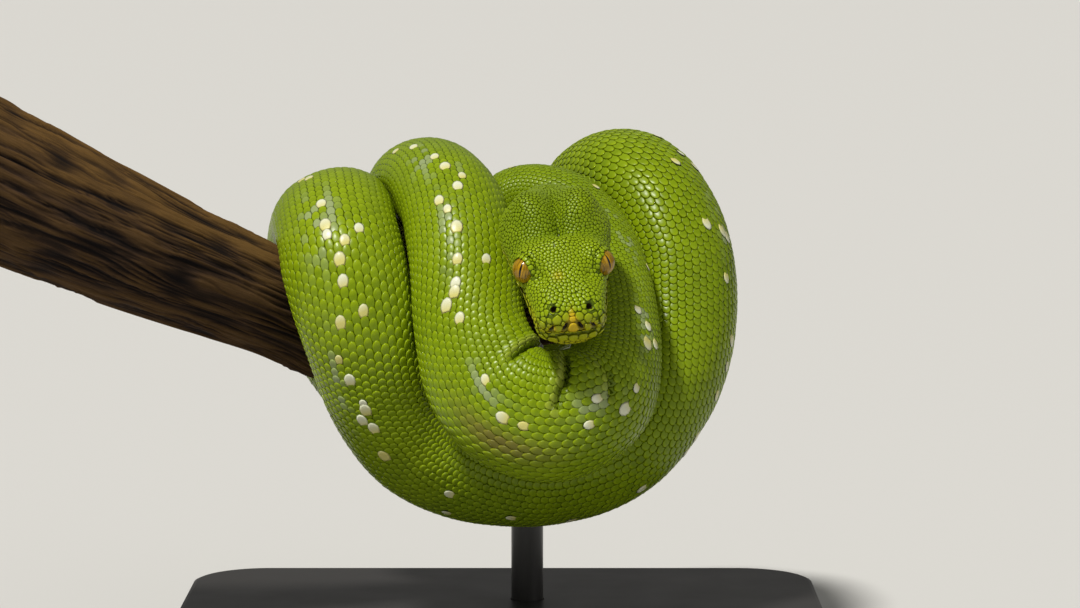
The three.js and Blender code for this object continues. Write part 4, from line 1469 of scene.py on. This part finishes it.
class PYTHON_PG_colours(bpy.types.PropertyGroup):
    leaf: colour_property("Leaf green", "Main green of the scales", (0.165, 0.25, 0.003))
    lime: colour_property("Lime", "Lighter green on the scales' tips", (0.27, 0.36, 0.005))
    deep: colour_property("Deep green", "Darker scales", (0.085, 0.135, 0.003))
    seam: colour_property("Seam", "Skin between the scales", (0.03, 0.052, 0.003))
    belly: colour_property("Belly", "Plates under the body", (0.52, 0.52, 0.16))
    white: colour_property("White", "White scales of the back", (0.66, 0.68, 0.50))
    cream: colour_property("Cream", "Yellowish white scales", (0.58, 0.54, 0.17))
    pale: colour_property("Pale", "Blue-grey scales of the back", (0.30, 0.35, 0.21))
    yellow: colour_property("Yellow", "Lips and front of the snout", (0.60, 0.40, 0.015))
    brown: colour_property("Brown", "Brownish patch", (0.15, 0.075, 0.035))
    # Near black, painted as the shade inside nostrils, lip pits and the mouth line; also the dark
    # rim round the iris.
    pit: colour_property("Pit", "Inside of nostrils and lip pits", (0.016, 0.009, 0.004))
    iris: colour_property("Iris", "Iris of the eyes", (0.36, 0.205, 0.003))
    bark: colour_property("Bark", "Bark of the perch", (0.040, 0.023, 0.013))
    # Paler brown of the fibres' crests, also laid over the perch's top as painted light.
    bark_crest: colour_property("Bark crest", "Dry fibres that stand out", (0.165, 0.090, 0.026))
    bark_hollow: colour_property("Bark hollow", "Furrows of the bark", (0.008, 0.006, 0.006))
    cut_wood: colour_property("Cut wood", "Sawn ends of the perch", (0.48, 0.34, 0.19))
    stand: colour_property("Stand", "Base and rod", (0.022, 0.021, 0.020))
    floor: colour_property("Floor", "Pale floor and backdrop", (0.60, 0.60, 0.585))


class PYTHON_PG_stage(bpy.types.PropertyGroup):
    elevation: number("Elevation", "Height of the camera's view over the horizon",
                      math.radians(6), subtype="ANGLE")
    distance: number("Distance", "From the camera to the coils", 1.1, unit="LENGTH")
    view_width: number("View width", "Width that the view takes in at the coils", 0.3273,
                       unit="LENGTH")
    target: bpy.props.FloatVectorProperty(
        name="Target", description="Point at the middle of the view",
        default=(0.012, 0.0, 0.108), subtype="TRANSLATION")
    key_power: number("Key light", "Strength of the light over the coils", 3.7)


# ---------------------------------------------------------------- operators


class PYTHON_OT_skin(bpy.types.Operator):
    """Makes the one skin over head, neck, trunk and tail"""

    bl_idname = "python_model.skin"
    bl_label = "Skin"

    def execute(self, context):
        skin = hide()
        every = COAT_SIDES // SKIN_SIDES
        points, s, angle = (table[:, ::every] for table in (skin.points, skin.s, skin.angle))
        obj = wrap_grid("skin", points)
        points, s, angle = (np.concatenate([table, table[:, :1]], 1)
                            for table in (points, s, angle))
        points, s, angle = points.reshape(-1, 3), s.ravel(), angle.ravel()
        marks = markings(points, s, angle)
        yellow, dark = head_markings(points)
        head = s < HEAD_END
        height, open_here = mouth_gap(points)
        # Painted shade along the mouth line.
        mouth_line_shade = bump(height, 0, 0.35) * open_here * head
        plain = np.zeros(len(s))
        seams = 0.05 + 0.4 * smoothstep(s, 60, 50)
        write_shares(obj, relief=seams, tint=plain, yellow=yellow * head,
                     dark=np.maximum(dark * head, 0.45 * mouth_line_shade), length=plain, **marks)
        weld(obj)
        flesh = [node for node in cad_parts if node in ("head", "neck", "tail")
                 or node.startswith("trunk_")]
        finish_piece(obj, "skin", scaly_green(), *flesh)
        return {"FINISHED"}


class PYTHON_OT_scales(bpy.types.Operator):
    """Lays overlapping scales along neck, trunk and tail"""

    bl_idname = "python_model.scales"
    bl_label = "Body scales"

    def execute(self, context):
        for name, first, last in COAT_LENGTHS:
            finish_piece(lay_scales(name, first, last), "skin", scaly_green())
        return {"FINISHED"}


class PYTHON_OT_belly(bpy.types.Operator):
    """Lays the wide plates under the body"""

    bl_idname = "python_model.belly"
    bl_label = "Belly plates"

    def execute(self, context):
        finish_piece(lay_belly("belly_plates"), "skin", scaly_green())
        return {"FINISHED"}


class PYTHON_OT_head_scales(bpy.types.Operator):
    """Covers the head with small scales and lip plates"""

    bl_idname = "python_model.head_scales"
    bl_label = "Head scales"

    def execute(self, context):
        for obj in lay_head_scales(("scales_snout", "scales_face", "scales_crown")):
            finish_piece(obj, "skin", scaly_green())
        return {"FINISHED"}


class PYTHON_OT_eyes(bpy.types.Operator):
    """Makes the two eyes with their slit pupils"""

    bl_idname = "python_model.eyes"
    bl_label = "Eyes"

    def execute(self, context):
        back, up = head_way(1, 0, 0), head_way(0, 0, 1)
        for name, sign in (("eye_left", 1), ("eye_right", -1)):
            centre, gaze = eye(sign, EYE_GAZE)
            upright = square(up + back * 0.15, gaze)
            obj = fresh(bpy.ops.mesh.primitive_uv_sphere_add, segments=64, ring_count=32, radius=1)
            obj.name = obj.data.name = name + "_ball"
            co = np.empty(len(obj.data.vertices) * 3)
            obj.data.vertices.foreach_get("co", co)
            ball = co.reshape(-1, 3)
            dome = 1 + 0.035 * smoothstep(ball @ gaze, 0.55, 1.0)
            placed = (centre + ball * (dome * EYE_RADIUS)[:, None]) * MM
            obj.data.vertices.foreach_set("co", placed.astype(np.float32).ravel())
            obj.data.update()
            obj.data.shade_smooth()
            finish_piece(obj, "eye", eye_finish(name + "_iris", centre, gaze, upright), name)
        return {"FINISHED"}


def along_branch(s, turn, length, count, seed):
    """Noise over the branch: length of its waves, and how many lie within one radian."""
    return noise(np.stack([s / length, np.cos(turn) * count, np.sin(turn) * count], -1), seed)


class PYTHON_OT_perch(bpy.types.Operator):
    """Makes the cut length of branch with its bark"""

    bl_idname = "python_model.perch"
    bl_label = "Perch"

    def execute(self, context):
        wood = branch()
        s = np.linspace(0, wood["s"][-1], round(wood["s"][-1] / BARK_STEP))
        angle = 2 * np.pi * np.arange(BARK_SIDES) / BARK_SIDES
        keys = ("point", "up", "back")
        at = {k: np.stack([np.interp(s, wood["s"], c) for c in wood[k].T], -1) for k in keys}
        radius = np.interp(s, wood["s"], wood["radius"])
        ss, aa = np.meshgrid(s, angle, indexing="ij")
        turn = (aa + along_branch(ss, aa, 38, 2, 8) * 0.14
                + along_branch(ss, aa, 8, 6, 6) * 0.03)
        crests = sum(share * np.clip(1 - np.abs(along_branch(ss, turn, length, count, seed))
                                     * sharpness, 0, 1)
                     for share, length, count, sharpness, seed in FIBRES)
        crests = np.clip(crests * (0.95 + 0.7 * along_branch(ss, turn, 9, 9, 9)), 0, 1)
        furrow = 1 - crests
        lumpy = along_branch(ss, aa, 30, 1.4, 5)
        reach = radius[:, None] + BARK_LUMPS * lumpy + FIBRE_RISE * crests - BARK_DROP
        out = (at["up"][:, None] * np.cos(angle)[None, :, None]
               - at["back"][:, None] * np.sin(angle)[None, :, None])
        middle = at["point"][:, None]
        rings = middle + out * reach[..., None]
        first = [rings[:1] * f + middle[:1] * (1 - f) for f in CAP_RINGS]
        last = [rings[-1:] * f + middle[-1:] * (1 - f) for f in reversed(CAP_RINGS)]
        grid = np.concatenate([*first, rings, *last], axis=0)
        obj = wrap_grid("perch_branch", grid)
        caps = len(CAP_RINGS)
        zero = np.zeros((caps, BARK_SIDES + 1))
        cut = np.concatenate([zero, np.hstack([furrow, furrow[:, :1]]), zero])
        turn = np.arange(BARK_SIDES + 1) * 2 * np.pi / BARK_SIDES
        # Share of painted light on the bark: 1 on the perch's top, 0 underneath.
        write_shares(obj, furrow=cut, dry=np.tile(0.5 + 0.5 * np.cos(turn), (len(grid), 1)))
        uv = obj.data.uv_layers.active or obj.data.uv_layers.new(name="UVMap")
        run = np.concatenate([[0] * caps, s, [s[-1]] * caps])
        share = np.arange(BARK_SIDES + 1) / BARK_SIDES
        flat = np.stack(np.meshgrid(run / 100, share * 0.9, indexing="ij"), -1)
        for k, f in enumerate(CAP_RINGS):
            ring = f * np.stack([np.cos(share * 2 * np.pi), np.sin(share * 2 * np.pi)], -1)
            flat[k] = flat[-1 - k] = ring
        loops = np.empty(len(obj.data.loops), np.int32)
        obj.data.loops.foreach_get("vertex_index", loops)
        uv.data.foreach_set("uv", flat.reshape(-1, 2)[loops].astype(np.float32).ravel())
        quads = np.arange(len(obj.data.polygons)) // BARK_SIDES
        ends = (quads < caps) | (quads >= len(grid) - 1 - caps)
        obj.data.materials.clear()
        obj.data.materials.append(bark_finish())
        obj.data.materials.append(cut_wood_finish())
        obj.data.polygons.foreach_set("material_index", ends.astype(np.int32))
        weld(obj)
        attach(obj, "root")
        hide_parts("branch")
        return {"FINISHED"}


class PYTHON_OT_stand(bpy.types.Operator):
    """Finishes the display stand"""

    bl_idname = "python_model.stand"
    bl_label = "Stand"

    def execute(self, context):
        colour = context.scene.python_colours.stand
        for node, roughness in (("stand_base", 0.42), ("stand_rod", 0.3)):
            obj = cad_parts[node]
            obj.data.materials.clear()
            obj.data.materials.append(stand_finish(node + "_paint", colour, roughness))
        return {"FINISHED"}


class PYTHON_OT_stage(bpy.types.Operator):
    """Sets the floor, the lights and the camera"""

    bl_idname = "python_model.stage"
    bl_label = "Stage"

    def execute(self, context):
        scene, stage = context.scene, context.scene.python_stage
        pale = rgba(scene.python_colours.floor)
        floor = fresh(bpy.ops.mesh.primitive_plane_add, size=FLOOR_SIZE)
        floor.name = "floor"
        floor.data.materials.append(Finish("pale_floor").surface(Base_Color=pale, Roughness=0.8))
        target = np.array(stage.target)
        lift = stage.elevation
        place = target + stage.distance * np.array((0, -math.cos(lift), math.sin(lift)))
        camera = fresh(bpy.ops.object.camera_add, location=place,
                       rotation=(math.pi / 2 - lift, 0, 0))
        camera.data.sensor_width = SENSOR
        camera.data.lens = SENSOR * stage.distance / stage.view_width
        camera.data.clip_start = 0.01
        camera.data.clip_end = 50
        scene.camera = camera
        for spot, spread, strength, colour in LIGHTS:
            lamp = fresh(bpy.ops.object.light_add, type="SUN", location=spot)
            lamp.data.angle = math.radians(spread)
            lamp.data.energy = stage.key_power * strength
            lamp.data.color = colour
            aim = unit(np.array(spot))
            lamp.rotation_euler = (math.acos(aim[2]), 0, math.atan2(aim[0], -aim[1]))
        world = bpy.data.worlds.new("soft_studio")
        world.use_nodes = True
        sky = world.node_tree.nodes["Background"]
        sky.inputs["Color"].default_value = WORLD_COLOUR
        sky.inputs["Strength"].default_value = WORLD_STRENGTH
        scene.world = world
        scene.view_settings.view_transform = "Standard"
        return {"FINISHED"}


class PYTHON_PT_sidebar(bpy.types.Panel):
    """Lists the steps that make the model"""

    bl_idname = "PYTHON_PT_sidebar"
    bl_label = "Tree Python"
    bl_space_type = "VIEW_3D"
    bl_region_type = "UI"
    bl_category = "Python"

    def draw(self, context):
        for group in (context.scene.python_coat, context.scene.python_colours,
                      context.scene.python_stage):
            for name in group.bl_rna.properties.keys():
                if name not in ("rna_type", "name"):
                    self.layout.prop(group, name)
        for step in STEPS:
            self.layout.operator(step.bl_idname)


STEPS = (
    PYTHON_OT_stage, PYTHON_OT_skin, PYTHON_OT_scales, PYTHON_OT_belly, PYTHON_OT_head_scales,
    PYTHON_OT_eyes, PYTHON_OT_perch, PYTHON_OT_stand,
)
CLASSES = (PYTHON_PG_coat, PYTHON_PG_colours, PYTHON_PG_stage, *STEPS, PYTHON_PT_sidebar)


def register():
    for each in CLASSES:
        bpy.utils.register_class(each)
    bpy.types.Scene.python_coat = bpy.props.PointerProperty(type=PYTHON_PG_coat)
    bpy.types.Scene.python_colours = bpy.props.PointerProperty(type=PYTHON_PG_colours)
    bpy.types.Scene.python_stage = bpy.props.PointerProperty(type=PYTHON_PG_stage)


def unregister():
    del bpy.types.Scene.python_coat
    del bpy.types.Scene.python_colours
    del bpy.types.Scene.python_stage
    for each in reversed(CLASSES):
        bpy.utils.unregister_class(each)


def main():
    register()
    bpy.ops.python_model.stage()
    bpy.ops.python_model.skin()
    bpy.ops.python_model.scales()
    bpy.ops.python_model.belly()
    bpy.ops.python_model.head_scales()
    bpy.ops.python_model.eyes()
    bpy.ops.python_model.perch()
    bpy.ops.python_model.stand()


if __name__ == "__main__":
    main()
